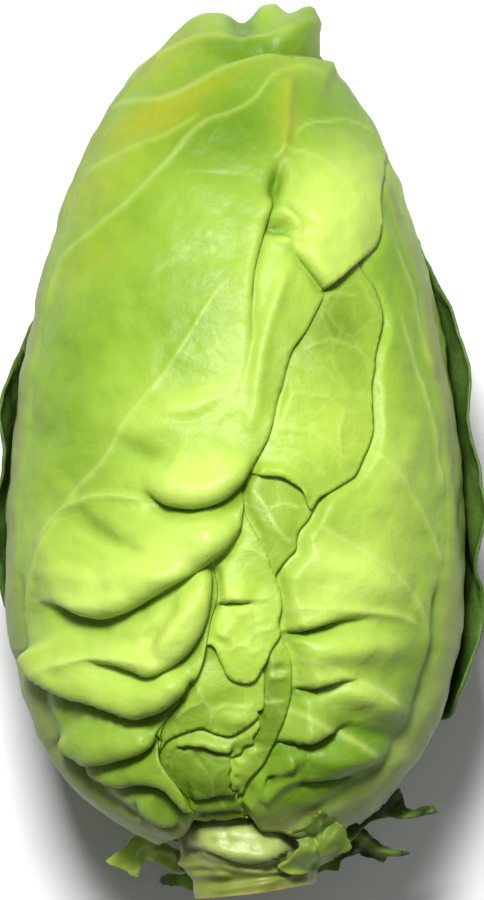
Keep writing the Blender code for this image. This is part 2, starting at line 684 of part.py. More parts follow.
def heart_object(leaves, parts, cutters):
    """The packed inner leaves: a smaller head under the outer ones, hollowed for the core."""
    body = bmesh.new()
    bmesh.ops.create_uvsphere(body, u_segments=HEART_COLUMNS, v_segments=HEART_ROWS, radius=1.0)
    ball = np.array([vert.co[:] for vert in body.verts])
    ring = np.arccos(np.clip(-ball[:, 2], -1.0, 1.0)) / math.pi
    turn = np.arctan2(ball[:, 0], ball[:, 1])
    along = HEART_START + (HEART_END - HEART_START) * ring
    points = raised(turn, along, heart_height(leaves, turn, along))
    pull = np.sqrt(smooth_step(np.minimum(ring, 1.0 - ring), 0.0, HEART_ROUNDING))[:, None]
    y = points[:, 1]
    middle = np.stack([np.full(len(y), AXIS_X), y, AXIS_Z - AXIS_TILT * y], axis=-1)
    points = middle + (points - middle) * pull
    points[:, 2] = np.maximum(points[:, 2], FLAT_STEP * len(LOWEST_LEAVES))
    for vert, point in zip(body.verts, points):
        vert.co = Vector(point)
    bmesh.ops.recalc_face_normals(body, faces=body.faces)
    mesh = bpy.data.meshes.new("heart")
    body.to_mesh(mesh)
    body.free()
    piece = bpy.data.objects.new("heart", mesh)
    parts.objects.link(piece)
    cutter = turned_solid("core_pocket", core_profile(CORE_GAP), STEM_SEGMENTS)
    cutter.hide_render = True
    cutter.display_type = "WIRE"
    cutters.objects.link(cutter)
    pocket = piece.modifiers.new("Core pocket", "BOOLEAN")
    pocket.operation = "DIFFERENCE"
    pocket.object = cutter
    piece.data.materials.append(leaf_material("heart", COLOURS["heart"]))
    return piece


def stem_object(parts):
    piece = turned_solid("stem", core_profile(), STEM_SEGMENTS, STUMP_RIDGE)
    parts.objects.link(piece)
    piece.data.materials.append(leaf_material("stem", COLOURS["stem"]))
    return piece


class Stub:
    """A torn leaf base: a drawn outline that starts at the stump and rises away from its root."""

    def __init__(self, name, outline, root, height, slope, wave, over):
        self.name = name
        self.outline = np.asarray(outline, dtype=float)
        self.root = np.asarray(root, dtype=float)
        self.height = height
        self.slope = slope
        self.wave = wave
        self.over = over

    def level(self, place):
        """Height of a drawn place, kept off the stump on the side where the stub lies."""
        away = math.hypot(place[0] - self.root[0], place[1] - self.root[1])
        ripple = self.wave * math.sin(0.19 * place[0] + 0.13 * place[1]) * min(1.0, away / 30.0)
        height = self.height + self.slope * away + ripple
        x = (place[0] - DRAWING_MIDDLE[0]) * DRAWING_UNIT
        y = (DRAWING_MIDDLE[1] - place[1]) * DRAWING_UNIT
        along = float(along_from_row(place[1]))
        sideways = (x - AXIS_X) / max(float(half_width(along)), STUB_GAP)
        if self.over and abs(sideways) < 0.9:
            head = head_surface(np.array(math.asin(sideways)), np.array(along))
            height = max(height, float(head[2]) + STUB_CLEARANCE)
        middle_x, middle_z = stem_axis(np.array(y))
        reach = COLLAR_RADIUS * (1.0 + STUMP_RIDGE * 1.5) + STUB_THICKNESS + STUB_GAP
        chord = math.sqrt(max(reach ** 2 - (x - float(middle_x)) ** 2, 0.0))
        if chord == 0.0:
            return x, y, height
        if self.over:
            return x, y, max(height, float(middle_z) + chord)
        return x, y, min(height, float(middle_z) - chord)


STUBS = (
    Stub("stub_left", [(134, 840), (122, 849), (106, 862), (115, 871), (136, 879), (140, 866),
                       (154, 864), (168, 868), (182, 872), (188, 866), (186, 856), (172, 850),
                       (158, 845)],
         (188, 862), 0.0600, -0.00016, 0.0012, False),
    Stub("stub_low", [(158, 880), (160, 886), (170, 888), (182, 888), (192, 892), (196, 882),
                      (190, 874), (178, 876), (168, 874)],
         (194, 884), 0.0540, -0.00020, 0.0006, False),
    Stub("stub_front", [(320, 803), (310, 813), (290, 826), (297, 837), (288, 854), (276, 862),
                        (290, 868), (306, 868), (322, 861), (338, 851), (349, 841), (343, 822),
                        (332, 812)],
         (300, 868), 0.0720, 0.00034, 0.0014, True),
    Stub("stub_right_low", [(316, 872), (330, 868), (345, 862), (361, 860), (384, 863), (407, 860),
                            (411, 852), (398, 851), (382, 846), (362, 850), (340, 856), (318, 862)],
         (316, 866), 0.0560, -0.00002, 0.0010, False),
    Stub("stub_right", [(322, 852), (334, 849), (362, 838), (384, 828), (411, 820), (437, 811),
                        (430, 808), (407, 804), (404, 798), (392, 813), (370, 824), (348, 838),
                        (322, 844)],
         (322, 848), 0.0660, -0.00003, 0.0010, True),
)


def stub_object(stub, parts):
    outline = divided(stub.outline, STUB_STEP)
    inner = scattered_stub(outline)
    places = [Vector(place) for place in np.vstack([outline, inner])]
    fill = delaunay_2d_cdt(places, [], [list(range(len(outline)))], 1, 1e-4)
    sheet = bmesh.new()
    corners = [sheet.verts.new(stub.level(place)) for place in fill[0]]
    for triangle in fill[2]:
        sheet.faces.new([corners[number] for number in triangle])
    bmesh.ops.recalc_face_normals(sheet, faces=sheet.faces)
    sheet.faces.ensure_lookup_table()
    if sheet.faces[0].normal.z < 0.0:
        bmesh.ops.reverse_faces(sheet, faces=sheet.faces)
    mesh = bpy.data.meshes.new(stub.name)
    sheet.to_mesh(mesh)
    sheet.free()
    piece = bpy.data.objects.new(stub.name, mesh)
    parts.objects.link(piece)
    wall = piece.modifiers.new("Thickness", "SOLIDIFY")
    wall.thickness = STUB_THICKNESS
    wall.offset = -1.0
    piece.data.materials.append(leaf_material(stub.name, COLOURS["stub"]))
    return piece


def scattered_stub(outline):
    """Places on a plain grid inside a stub's outline, clear of its edge."""
    low, high = outline.min(axis=0), outline.max(axis=0)
    columns = np.arange(low[0], high[0], STUB_STEP)
    rows = np.arange(low[1], high[1], STUB_STEP)
    grid = np.stack(np.meshgrid(columns, rows), axis=-1).reshape(-1, 2)
    grid = grid[inside(grid, outline)]
    signed, _ = line_distance(grid, np.vstack([outline, outline[:1]]))
    return grid[np.abs(signed) > STUB_EDGE_MARGIN]


def clear_scene():
    for thing in list(bpy.data.objects):
        bpy.data.objects.remove(thing, do_unlink=True)


def main():
    clear_scene()
    parts = bpy.data.collections.new("pointed_cabbage")
    cutters = bpy.data.collections.new("cutters")
    bpy.context.scene.collection.children.link(parts)
    bpy.context.scene.collection.children.link(cutters)
    shared = shared_places(LEAVES)
    for index in range(len(LEAVES)):
        leaf_object(LEAVES, index, shared, parts)
    heart_object(LEAVES, parts, cutters)
    stem_object(parts)
    for stub in STUBS:
        stub_object(stub, parts)


main()
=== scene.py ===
"""Looks of a pointed cabbage head that lies on its back, stump towards -Y and tip towards +Y.

Every leaf is a fine sheet laid over one egg-shaped head surface. A place on that surface is a turn
round the head (0 on top, a quarter turn at the right side) and a distance along its meridian from
the stump to the tip. Folds, mounds, furrows and veins raise and roll the sheet, and a leaf dips
under the leaves that lie over it. Forms on the upper side are drawn as seen from above, in drawing
units with the tip near row 0.
"""

import logging
import math
from dataclasses import dataclass, field
from enum import Enum

import bmesh
import bpy
import numpy as np
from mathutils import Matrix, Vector


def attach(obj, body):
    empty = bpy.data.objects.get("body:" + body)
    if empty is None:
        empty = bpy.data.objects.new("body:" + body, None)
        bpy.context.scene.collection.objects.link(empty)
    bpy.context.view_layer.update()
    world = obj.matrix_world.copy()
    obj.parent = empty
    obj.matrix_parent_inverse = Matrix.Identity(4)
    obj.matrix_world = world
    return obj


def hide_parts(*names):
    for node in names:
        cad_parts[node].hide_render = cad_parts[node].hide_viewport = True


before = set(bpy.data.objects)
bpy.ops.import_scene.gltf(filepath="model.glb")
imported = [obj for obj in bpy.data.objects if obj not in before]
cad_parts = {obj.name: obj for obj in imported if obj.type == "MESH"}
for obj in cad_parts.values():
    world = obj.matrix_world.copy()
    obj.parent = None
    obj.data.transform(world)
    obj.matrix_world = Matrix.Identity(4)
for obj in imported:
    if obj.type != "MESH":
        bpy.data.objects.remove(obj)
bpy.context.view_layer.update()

LOG = logging.getLogger("cabbage")
UNIT = 0.00028
DRAWING_MIDDLE = (242.0, 449.0)
FRAME_SIZE = (484, 900)
FAR = 1.0
SMALL = 1e-9

Points = list[tuple[float, float]]


def smooth_step(value: np.ndarray, low: float, high: float) -> np.ndarray:
    """Ease from 0 at low to 1 at high.

    Args:
        value: Numbers to ease.
        low: Value that gives 0.
        high: Value that gives 1.

    Returns:
        Eased numbers between 0 and 1.
    """
    share = np.clip((value - low) / (high - low), 0.0, 1.0)
    return share * share * (3.0 - 2.0 * share)


def soft_least(first: np.ndarray, second: np.ndarray, blend: float) -> np.ndarray:
    """Take the lower of two heights, rounded where they cross.

    Args:
        first: Heights.
        second: Heights.
        blend: Size of the rounding.

    Returns:
        Heights that are never over either.
    """
    gap = np.minimum(np.abs(first - second) / blend, 30.0)
    return np.minimum(first, second) - blend * np.log1p(np.exp(-gap))


def rounded(points: np.ndarray, closed: bool, steps: int = 4) -> np.ndarray:
    """Run a smooth curve through a line's points.

    Args:
        points: Corner points, one a row.
        closed: Whether the line returns to its start.
        steps: Pieces that each stretch is divided into.

    Returns:
        Points of the smooth curve.
    """
    points = np.asarray(points, dtype=float)
    if closed:
        ring = np.vstack([points[-1:], points, points[:2]])
    else:
        ring = np.vstack([2 * points[:1] - points[1:2], points, 2 * points[-1:] - points[-2:-1]])
    pieces = []
    for k in range(1, len(ring) - 2):
        before, start, end, after = ring[k - 1], ring[k], ring[k + 1], ring[k + 2]
        for t in np.arange(steps) / steps:
            pieces.append(0.5 * (2 * start + (end - before) * t
                                 + (2 * before - 5 * start + 4 * end - after) * t ** 2
                                 + (3 * start - before - 3 * end + after) * t ** 3))
    if not closed:
        pieces.append(points[-1])
    return np.asarray(pieces)


class Line:
    """A drawn line that can be measured from many places at once."""

    def __init__(self, points: Points, smooth: bool = True) -> None:
        """Keep the line, as a smooth curve where asked.

        Args:
            points: Points of the line.
            smooth: Whether the line is rounded through its points.
        """
        corners = np.asarray(points, dtype=float)
        self.points = rounded(corners, False) if smooth and len(corners) > 2 else corners

    def measure(self, places: np.ndarray, reach: float) -> tuple[np.ndarray, np.ndarray, np.ndarray]:
        """Measure how places lie from the line.

        Args:
            places: Places, one a row.
            reach: Distance past which a place counts as far.

        Returns:
            Signed distance (plus on the right hand), share along the line and the right-hand
            direction of the nearest stretch.
        """
        count = len(places)
        signed = np.full(count, reach * 4.0)
        share = np.zeros(count)
        across = np.zeros((count, 2))
        low = self.points.min(axis=0) - reach
        high = self.points.max(axis=0) + reach
        index = np.flatnonzero(((places >= low) & (places <= high)).all(axis=1))
        if len(index) == 0:
            return signed, share, across
        near = places[index]
        best = np.full(len(index), math.inf)
        near_signed = np.zeros(len(index))
        near_share = np.zeros(len(index))
        near_across = np.zeros((len(index), 2))
        steps = np.diff(self.points, axis=0)
        lengths = np.maximum(np.linalg.norm(steps, axis=1), SMALL)
        total = lengths.sum()
        run = 0.0
        for start, step, length in zip(self.points[:-1], steps, lengths):
            edge = step / length
            offset = near - start
            t = np.clip(offset @ edge, 0.0, length)
            gap = offset - t[:, None] * edge
            distance = np.hypot(gap[:, 0], gap[:, 1])
            closer = distance < best
            side = np.where(edge[0] * offset[:, 1] - edge[1] * offset[:, 0] > 0, 1.0, -1.0)
            best = np.where(closer, distance, best)
            near_signed = np.where(closer, side * distance, near_signed)
            near_share = np.where(closer, (run + t) / total, near_share)
            near_across[closer] = (-edge[1], edge[0])
            run += length
        signed[index] = near_signed
        share[index] = near_share
        across[index] = near_across
        return signed, share, across


class Outline:
    """A closed outline that sheets are cut to."""

    def __init__(self, corners: np.ndarray) -> None:
        """Keep the outline.

        Args:
            corners: Corners of the outline, one a row.
        """
        self.corners = corners
        self.line = Line(np.vstack([corners, corners[:1]]), smooth=False)

    def contains(self, places: np.ndarray) -> np.ndarray:
        """Tell which places lie inside the outline."""
        result = np.zeros(len(places), dtype=bool)
        for start, end in zip(self.corners, np.roll(self.corners, -1, axis=0)):
            if start[1] == end[1]:
                continue
            crosses = (start[1] > places[:, 1]) != (end[1] > places[:, 1])
            edge_x = start[0] + (places[:, 1] - start[1]) * (end[0] - start[0]) / (end[1] - start[1])
            result ^= crosses & (places[:, 0] < edge_x)
        return result

    def feet(self, places: np.ndarray, reach: float) -> tuple[np.ndarray, np.ndarray]:
        """Find each place's distance to the outline and its foot there.

        Args:
            places: Places, one a row.
            reach: Distance past which a place counts as far.

        Returns:
            Distances and feet.
        """
        signed, _, across = self.line.measure(places, reach)
        return np.abs(signed), places - across * signed[:, None]


@dataclass
class HeadShape:
    """The egg-shaped surface that every leaf lies on, in metres."""

    half_width: float = 0.0634
    depth_share: float = 0.90
    base_reach: float = 0.0834
    tip_reach: float = 0.1518
    widest_y: float = -0.0283
    axis_x: float = -0.0017
    axis_z: float = 0.0559
    axis_tilt: float = 0.082
    tip_droop: float = 0.008
    droop_start: float = 0.060
    droop_length: float = 0.0635
    base_powers: tuple[float, float] = (2.4, 2.3)
    tip_powers: tuple[float, float] = (1.95, 1.95)
    along: np.ndarray = field(init=False)
    along_y: np.ndarray = field(init=False)
    along_half: np.ndarray = field(init=False)
    end: float = field(init=False)

    def __post_init__(self) -> None:
        """Work out the meridian: distance along, place along Y and half width."""
        swing = np.linspace(0.0, math.pi, 1600)
        in_base = swing < math.pi / 2
        reach = np.where(in_base, self.base_reach, self.tip_reach)
        y = self.widest_y - reach * np.cos(swing)
        share = np.clip(np.abs(y - self.widest_y) / reach, 0.0, 1.0)
        base = (1.0 - share ** self.base_powers[0]) ** (1.0 / self.base_powers[1])
        tip = (1.0 - share ** self.tip_powers[0]) ** (1.0 / self.tip_powers[1])
        half = self.half_width * np.where(in_base, base, tip)
        steps = np.hypot(np.diff(y), np.diff(half))
        self.along = np.concatenate(([0.0], np.cumsum(steps)))
        self.along_y = y
        self.along_half = half
        self.end = float(self.along[-1])

    def half(self, along: np.ndarray) -> np.ndarray:
        """Give the half width of the head at a distance along."""
        return np.interp(along, self.along, self.along_half)

    def flat_width(self, along: np.ndarray) -> np.ndarray:
        """Give the length of a radian of turn on the unrolled head."""
        return np.sqrt(np.maximum(self.half(along), 0.001) * self.half_width)

    def row(self, along: np.ndarray) -> np.ndarray:
        """Give the drawing row of a distance along."""
        return DRAWING_MIDDLE[1] - np.interp(along, self.along, self.along_y) / UNIT

    def along_from_row(self, row: np.ndarray) -> np.ndarray:
        """Give the distance along of a drawing row."""
        return np.interp((DRAWING_MIDDLE[1] - row) * UNIT, self.along_y, self.along)

    def surface(self, turn: np.ndarray, along: np.ndarray) -> np.ndarray:
        """Place points on the bare head.

        Args:
            turn: Turns round the head, in radians.
            along: Distances along the meridian.

        Returns:
            Points, one a row.
        """
        y = np.interp(along, self.along, self.along_y)
        half = self.half(along)
        droop = self.tip_droop * np.clip((y - self.droop_start) / self.droop_length, 0.0, 1.0) ** 2
        z = self.axis_z - self.axis_tilt * y - droop + self.depth_share * half * np.cos(turn)
        return np.stack([self.axis_x + half * np.sin(turn), y, z], axis=-1)

    def normal(self, turn: np.ndarray, along: np.ndarray) -> np.ndarray:
        """Give the unit normals of the bare head, pointing out.

        Args:
            turn: Turns round the head, in radians.
            along: Distances along the meridian.

        Returns:
            Unit vectors, one a row.
        """
        step = 0.0006
        along = np.clip(along, 3 * step, self.end - 3 * step)
        across = self.surface(turn + 0.01, along) - self.surface(turn - 0.01, along)
        up = self.surface(turn, along + step) - self.surface(turn, along - step)
        normal = np.cross(across, up)
        return normal / np.linalg.norm(normal, axis=-1, keepdims=True)

    def raised(self, turn: np.ndarray, along: np.ndarray, height: np.ndarray) -> np.ndarray:
        """Place points at a height over the head.

        Args:
            turn: Turns round the head, in radians.
            along: Distances along the meridian.
            height: Heights along the normal.

        Returns:
            Points, one a row.
        """
        return self.surface(turn, along) + self.normal(turn, along) * height[..., None]

    def drawn(self, points: np.ndarray) -> np.ndarray:
        """Give the drawing places of points in space."""
        column = DRAWING_MIDDLE[0] + points[..., 0] / UNIT
        row = DRAWING_MIDDLE[1] - points[..., 1] / UNIT
        return np.stack([column, row], axis=-1)

    def seen(self, places: Points, level: float = 0.0) -> np.ndarray:
        """Find where drawing places lie on the upper side of the head.

        Args:
            places: Drawing places.
            level: Height of the leaf over the head.

        Returns:
            Turn and distance along, one pair a row.
        """
        goal = np.asarray(places, dtype=float)
        aim = goal.copy()
        for _ in range(8):
            x = (aim[:, 0] - DRAWING_MIDDLE[0]) * UNIT - self.axis_x
            along = np.clip(self.along_from_row(aim[:, 1]), 0.004, self.end - 0.003)
            turn = np.arcsin(np.clip(x / self.half(along), -0.999, 0.999))
            aim += 0.8 * (goal - self.drawn(self.raised(turn, along, np.full(len(turn), level))))
        return np.stack([turn, along], axis=-1)

    def turned(self, places: Points) -> np.ndarray:
        """Find where (degrees of turn, drawing row) pairs lie, for the sides and the back."""
        pairs = np.asarray(places, dtype=float)
        return np.stack([np.radians(pairs[:, 0]), self.along_from_row(pairs[:, 1])], axis=-1)


HEAD = HeadShape()


class Side(Enum):
    """How a form's line is drawn."""

    FRONT = "as seen from above"
    AROUND = "unrolled about the leaf's middle"


@dataclass
class Form:
    """A shape raised on a leaf; the base of all forms."""

    line: Line
    side: Side = field(default=Side.FRONT, kw_only=True)

    def shape(self, places: np.ndarray) -> tuple[np.ndarray, np.ndarray]:
        """Give the lift and the sideways slide of places on the leaf.

        Args:
            places: Places in the form's drawing.

        Returns:
            Lift in metres and slide in drawing units.
        """
        return np.zeros(len(places)), np.zeros((len(places), 2))

    def gather(self, places: np.ndarray) -> np.ndarray:
        """Give the steps that draw mesh places closer to the form."""
        return np.zeros((len(places), 2))


@dataclass
class Lip(Form):
    """A pleat whose high side rolls over a dark groove.

    The high side is on the left when the line is followed with rows downwards.
    """

    height: float = 0.003
    reach: float = 36.0
    groove: float = 0.0018
    overhang: float = 7.0
    ends: tuple[float, float] = (0.3, 0.08)
    spread: float = 1.0

    def fade(self, share: np.ndarray) -> np.ndarray:
        """Fade the pleat out at its ends."""
        start = smooth_step(share, 0.0, self.ends[0])
        return start * (1.0 - smooth_step(share, 1.0 - self.ends[1], 1.0))

    def shape(self, places: np.ndarray) -> tuple[np.ndarray, np.ndarray]:
        """Give the lift and the roll of the pleat.

        Args:
            places: Places in the form's drawing.

        Returns:
            Lift in metres and slide in drawing units.
        """
        signed, share, across = self.line.measure(places, self.reach * 2.2)
        fade = self.fade(share)
        q = signed + self.overhang
        swell = np.exp(-((np.clip(-q, 0.0, None) / self.reach) ** 1.6))
        fall = 1.0 - smooth_step(q, -0.9 * self.overhang, 0.9 * self.overhang)
        past = q - 1.1 * self.overhang
        width = self.overhang * np.where(past > 0.0, self.spread, 1.0)
        dip = self.groove * np.exp(-((past / width) ** 2))
        roll = self.overhang * 1.25 * np.exp(-((q / (0.9 * self.overhang)) ** 2))
        tuck = self.overhang * 0.5 * np.exp(-(((q - 1.3 * self.overhang) / (0.7 * self.overhang)) ** 2))
        lift = fade * (self.height * swell * fall - dip)
        return lift, across * (fade * (roll - tuck))[:, None]

    def gather(self, places: np.ndarray) -> np.ndarray:
        """Draw places closer to the wall of the pleat."""
        signed, share, across = self.line.measure(places, 30.0)
        q = signed + 0.6 * self.overhang
        pull = -0.6 * q * np.exp(-((q / 11.0) ** 2)) * self.fade(share)
        return across * pull[:, None]


@dataclass
class Mound(Form):
    """A soft mound or hollow with an elliptical plan about the line's first point."""

    size: tuple[float, float] = (30.0, 30.0)
    height: float = 0.002
    angle: float = 0.0
    steep: float = 1.0

    def shape(self, places: np.ndarray) -> tuple[np.ndarray, np.ndarray]:
        """Give the lift of the mound.

        Args:
            places: Places in the form's drawing.

        Returns:
            Lift in metres and no slide.
        """
        offset = places - self.line.points[0]
        cos, sin = math.cos(math.radians(self.angle)), math.sin(math.radians(self.angle))
        along = (offset[:, 0] * cos + offset[:, 1] * sin) / self.size[0]
        across = (offset[:, 1] * cos - offset[:, 0] * sin) / self.size[1]
        lift = self.height * np.exp(-((along ** 2 + across ** 2) ** self.steep))
        return lift, np.zeros((len(places), 2))


@dataclass
class Ridge(Form):
    """A raised rib, or a furrow where its height is below zero, that tapers along its line."""

    heights: tuple[float, float] = (0.0006, 0.0002)
    widths: tuple[float, float] = (3.0, 2.0)
    ends: float = 0.12
    draws_in: float = 0.45

    def profile(self, places: np.ndarray) -> tuple[np.ndarray, np.ndarray]:
        """Give the height and the rounded mask of the rib at places."""
        signed, share, _ = self.line.measure(places, 3.2 * max(self.widths))
        width = self.widths[0] + (self.widths[1] - self.widths[0]) * share
        height = self.heights[0] + (self.heights[1] - self.heights[0]) * share
        fade = smooth_step(share, 0.0, self.ends) * (1.0 - smooth_step(share, 1.0 - self.ends, 1.0))
        mask = np.exp(-((signed / width) ** 2)) * fade
        return height, mask

    def shape(self, places: np.ndarray) -> tuple[np.ndarray, np.ndarray]:
        """Give the lift of the rib.

        Args:
            places: Places in the form's drawing.

        Returns:
            Lift in metres and no slide.
        """
        height, mask = self.profile(places)
        return height * mask, np.zeros((len(places), 2))

    def gather(self, places: np.ndarray) -> np.ndarray:
        """Draw places closer to the rib."""
        reach = max(self.widths) * 2.4
        signed, share, across = self.line.measure(places, 2.5 * reach)
        fade = smooth_step(share, 0.0, self.ends) * (1.0 - smooth_step(share, 1.0 - self.ends, 1.0))
        pull = -self.draws_in * signed * np.exp(-((signed / reach) ** 2)) * fade
        return across * pull[:, None]


@dataclass
class Vein(Ridge):
    """A rib that is also paler than the blade."""

    paleness: float = 0.8


@dataclass
class Petiole(Ridge):
    """The broad pale midrib of a leaf, flat-topped with soft edges."""

    def profile(self, places: np.ndarray) -> tuple[np.ndarray, np.ndarray]:
        """Give the height and the flat-topped mask of the midrib at places."""
        signed, share, _ = self.line.measure(places, 2.2 * max(self.widths))
        width = self.widths[0] + (self.widths[1] - self.widths[0]) * share
        height = self.heights[0] + (self.heights[1] - self.heights[0]) * share
        mask = np.exp(-((np.abs(signed) / width) ** 7))
        return height, mask


@dataclass
class Patch:
    """A soft coloured area of a leaf, painted into one of its masks: a real tone of the leaf, painted shade, or
    painted light.
    """

    mask: str
    centre: tuple[float, float]
    size: tuple[float, float]
    strength: float
    angle: float = 0.0


def ripple(points: np.ndarray, seed: int, length: float) -> np.ndarray:
    """Make a smooth seeded unevenness in space.

    Args:
        points: Points in space.
        seed: Number that fixes the pattern.
        length: Typical length of a wave, in metres.

    Returns:
        Values around 0, mostly between -1 and 1.
    """
    draw = np.random.default_rng(seed)
    total = np.zeros(len(points))
    for _ in range(14):
        direction = draw.normal(size=3)
        direction *= 2 * math.pi / (length * draw.uniform(0.7, 1.9) * np.linalg.norm(direction))
        total += np.sin(points @ direction + draw.uniform(0.0, 2 * math.pi))
    return total / 3.2


@dataclass
class Leaf:
    """One leaf: its outline, level, forms, coloured areas with painted shade and light, and finish."""

    name: str
    middle: float
    outline: np.ndarray
    level: float
    finish: str
    slot: str
    forms: list[Form] = field(default_factory=list)
    patches: list[Patch] = field(default_factory=list)
    unevenness: float = 0.00030
    step: float = 0.0010
    smooth_edge: bool = True
    thickness: float = 0.0006
    seed: int = 1
    # The next three fields set the painted shade that darkens the relief's hollows, the painted light that
    # lightens its crests, and the relief depth that gives the full amount.
    shade: float = 0.75
    shine: float = 0.40
    shade_depth: float = 0.0022

    def __post_init__(self) -> None:
        """Lay the outline flat about the leaf's middle."""
        self.turn_middle = math.radians(self.middle)
        turn, along = self.outline[:, 0], self.outline[:, 1]
        flat = np.stack([(turn - self.turn_middle) * HEAD.flat_width(along), along], axis=-1)
        edge = rounded(flat, True, 5) if self.smooth_edge else rounded(flat, True, 2)
        lengths = np.linalg.norm(np.diff(edge, axis=0), axis=1)
        run = np.concatenate(([0.0], np.cumsum(lengths)))
        draw = np.random.default_rng(self.seed)
        for length in (0.011, 0.0052, 0.0026):
            phase = draw.uniform(0.0, 6.28, 2)
            wave = np.stack([np.sin(run / length * 2 + phase[0]), np.cos(run / length * 2.3 + phase[1])],
                            axis=-1)
            edge = edge + wave * length * 0.022
        self.rim = Outline(edge)

    def flat(self, turn: np.ndarray, along: np.ndarray) -> np.ndarray:
        """Give places on the unrolled leaf, in metres."""
        wrapped = (turn - self.turn_middle + math.pi) % (2 * math.pi) - math.pi
        return np.stack([wrapped * HEAD.flat_width(along), along], axis=-1)

    def places(self, side: Side, turn: np.ndarray, along: np.ndarray) -> np.ndarray:
        """Give drawing places of the leaf for one way of drawing.

        Args:
            side: How the forms are drawn.
            turn: Turns round the head, in radians.
            along: Distances along the meridian.

        Returns:
            Drawing places, one a row.
        """
        if side is Side.FRONT:
            return HEAD.drawn(HEAD.raised(turn, along, np.full(len(turn), self.level)))
        flat = self.flat(turn, along)
        return np.stack([flat[:, 0] / UNIT, HEAD.row(along)], axis=-1)

    def wish(self, turn: np.ndarray, along: np.ndarray) -> tuple[np.ndarray, np.ndarray]:
        """Shape the leaf with nothing above it.

        Args:
            turn: Turns round the head, in radians.
            along: Distances along the meridian.

        Returns:
            Height over the head, and slides along turn and along in metres.
        """
        height = np.full(len(turn), self.level)
        slide = np.zeros((len(turn), 2))
        facing = smooth_step(np.cos(turn), -0.02, 0.14)
        for side in Side:
            places = self.places(side, turn, along)
            weight = facing if side is Side.FRONT else np.ones(len(turn))
            for form in self.forms:
                if form.side is side:
                    lift, shift = form.shape(places)
                    height = height + lift * weight
                    slide = slide + shift * weight[:, None]
        points = HEAD.surface(turn, along)
        height = height + self.unevenness * ripple(points, self.seed, 0.016)
        height = height + 0.35 * self.unevenness * ripple(points, self.seed + 100, 0.006)
        return height, slide * UNIT

    def masks(self, turn: np.ndarray, along: np.ndarray) -> dict[str, np.ndarray]:
        """Paint the leaf's masks: veins, midrib, coloured areas, painted shade in the hollows and grooves of its
        relief and painted light on its crests.

        Args:
            turn: Turns round the head, in radians.
            along: Distances along the meridian.

        Returns:
            Mask values by name.
        """
        count = len(turn)
        painted = {name: np.zeros(count) for name in ("vein", "rib", "gold", "deep", "bright", "pale")}
        facing = smooth_step(np.cos(turn), -0.02, 0.14)
        relief = np.zeros(count)
        for side in Side:
            places = self.places(side, turn, along)
            weight = facing if side is Side.FRONT else np.ones(count)
            for form in self.forms:
                if form.side is side and isinstance(form, Petiole):
                    painted["rib"] = np.maximum(painted["rib"], form.profile(places)[1] * weight)
                elif form.side is side and isinstance(form, Vein):
                    vein = form.profile(places)[1] * form.paleness * weight
                    painted["vein"] = np.maximum(painted["vein"], vein)
                elif form.side is side:
                    relief += form.shape(places)[0] * weight
        # Painted shade in the hollows and grooves of the relief, painted light on its crests.
        painted["deep"] += self.shade * np.clip(-relief / self.shade_depth, 0.0, 1.0)
        painted["bright"] += self.shine * np.clip(relief / self.shade_depth - 0.3, 0.0, 1.0)
        places = self.places(Side.FRONT, turn, along)
        for patch in self.patches:
            mound = Mound(Line([patch.centre]), size=patch.size, height=patch.strength, angle=patch.angle)
            painted[patch.mask] = painted[patch.mask] + mound.shape(places)[0] * facing
        return painted


@dataclass
class Stack:
    """All leaves from the outermost inwards, each kept under the ones before it."""

    leaves: list[Leaf]
    gap: float = 0.00035
    margin: float = 0.0012
    ramp: float = 1.3
    blend: float = 0.0003
    reach: float = 0.02
    floor_step: float = 0.0025
    lowest: tuple[str, ...] = ("wrapper_right", "wrapper_left", "leaf_left", "leaf_right")

    def cover(self, leaf: Leaf, turn: np.ndarray, along: np.ndarray) -> np.ndarray:
        """Give how far a leaf's underside rises clear of places outside its outline."""
        flat = leaf.flat(turn, along)
        distance, _ = leaf.rim.feet(flat, self.reach)
        outside = np.where(leaf.rim.contains(flat), 0.0, distance)
        rise = self.ramp * np.clip(outside - self.margin, 0.0, None)
        return np.where(outside >= self.reach, FAR, rise)

    def ceiling(self, count: int, turn: np.ndarray, along: np.ndarray) -> np.ndarray:
        """Find the lowest underside of the first leaves of the stack.

        Args:
            count: Number of leaves from the outermost.
            turn: Turns round the head, in radians.
            along: Distances along the meridian.

        Returns:
            Height that a further leaf stays under.
        """
        lowest = np.full(len(turn), FAR)
        for leaf in self.leaves[:count]:
            top = soft_least(leaf.wish(turn, along)[0], lowest, self.blend)
            cover = self.cover(leaf, turn, along)
            lowest = np.minimum(lowest, top - leaf.thickness - self.gap + cover)
        return lowest

    def place(self, index: int, turn: np.ndarray, along: np.ndarray) -> np.ndarray:
        """Place one leaf's points in space.

        Args:
            index: Number of the leaf in the stack.
            turn: Turns round the head, in radians.
            along: Distances along the meridian.

        Returns:
            Points, one a row.
        """
        leaf = self.leaves[index]
        height, slide = leaf.wish(turn, along)
        ceiling = self.ceiling(index, turn, along)
        free = smooth_step(ceiling - height, -0.0002, 0.0006)
        height = soft_least(height, ceiling, self.blend)
        turn = turn + slide[:, 0] * free / np.maximum(HEAD.half(along), 0.004)
        along = np.clip(along - slide[:, 1] * free, 0.002, HEAD.end - 0.0015)
        points = HEAD.raised(turn, along, height)
        if leaf.name in self.lowest:
            points[:, 2] = np.maximum(points[:, 2], self.floor_step * self.lowest.index(leaf.name))
        return points


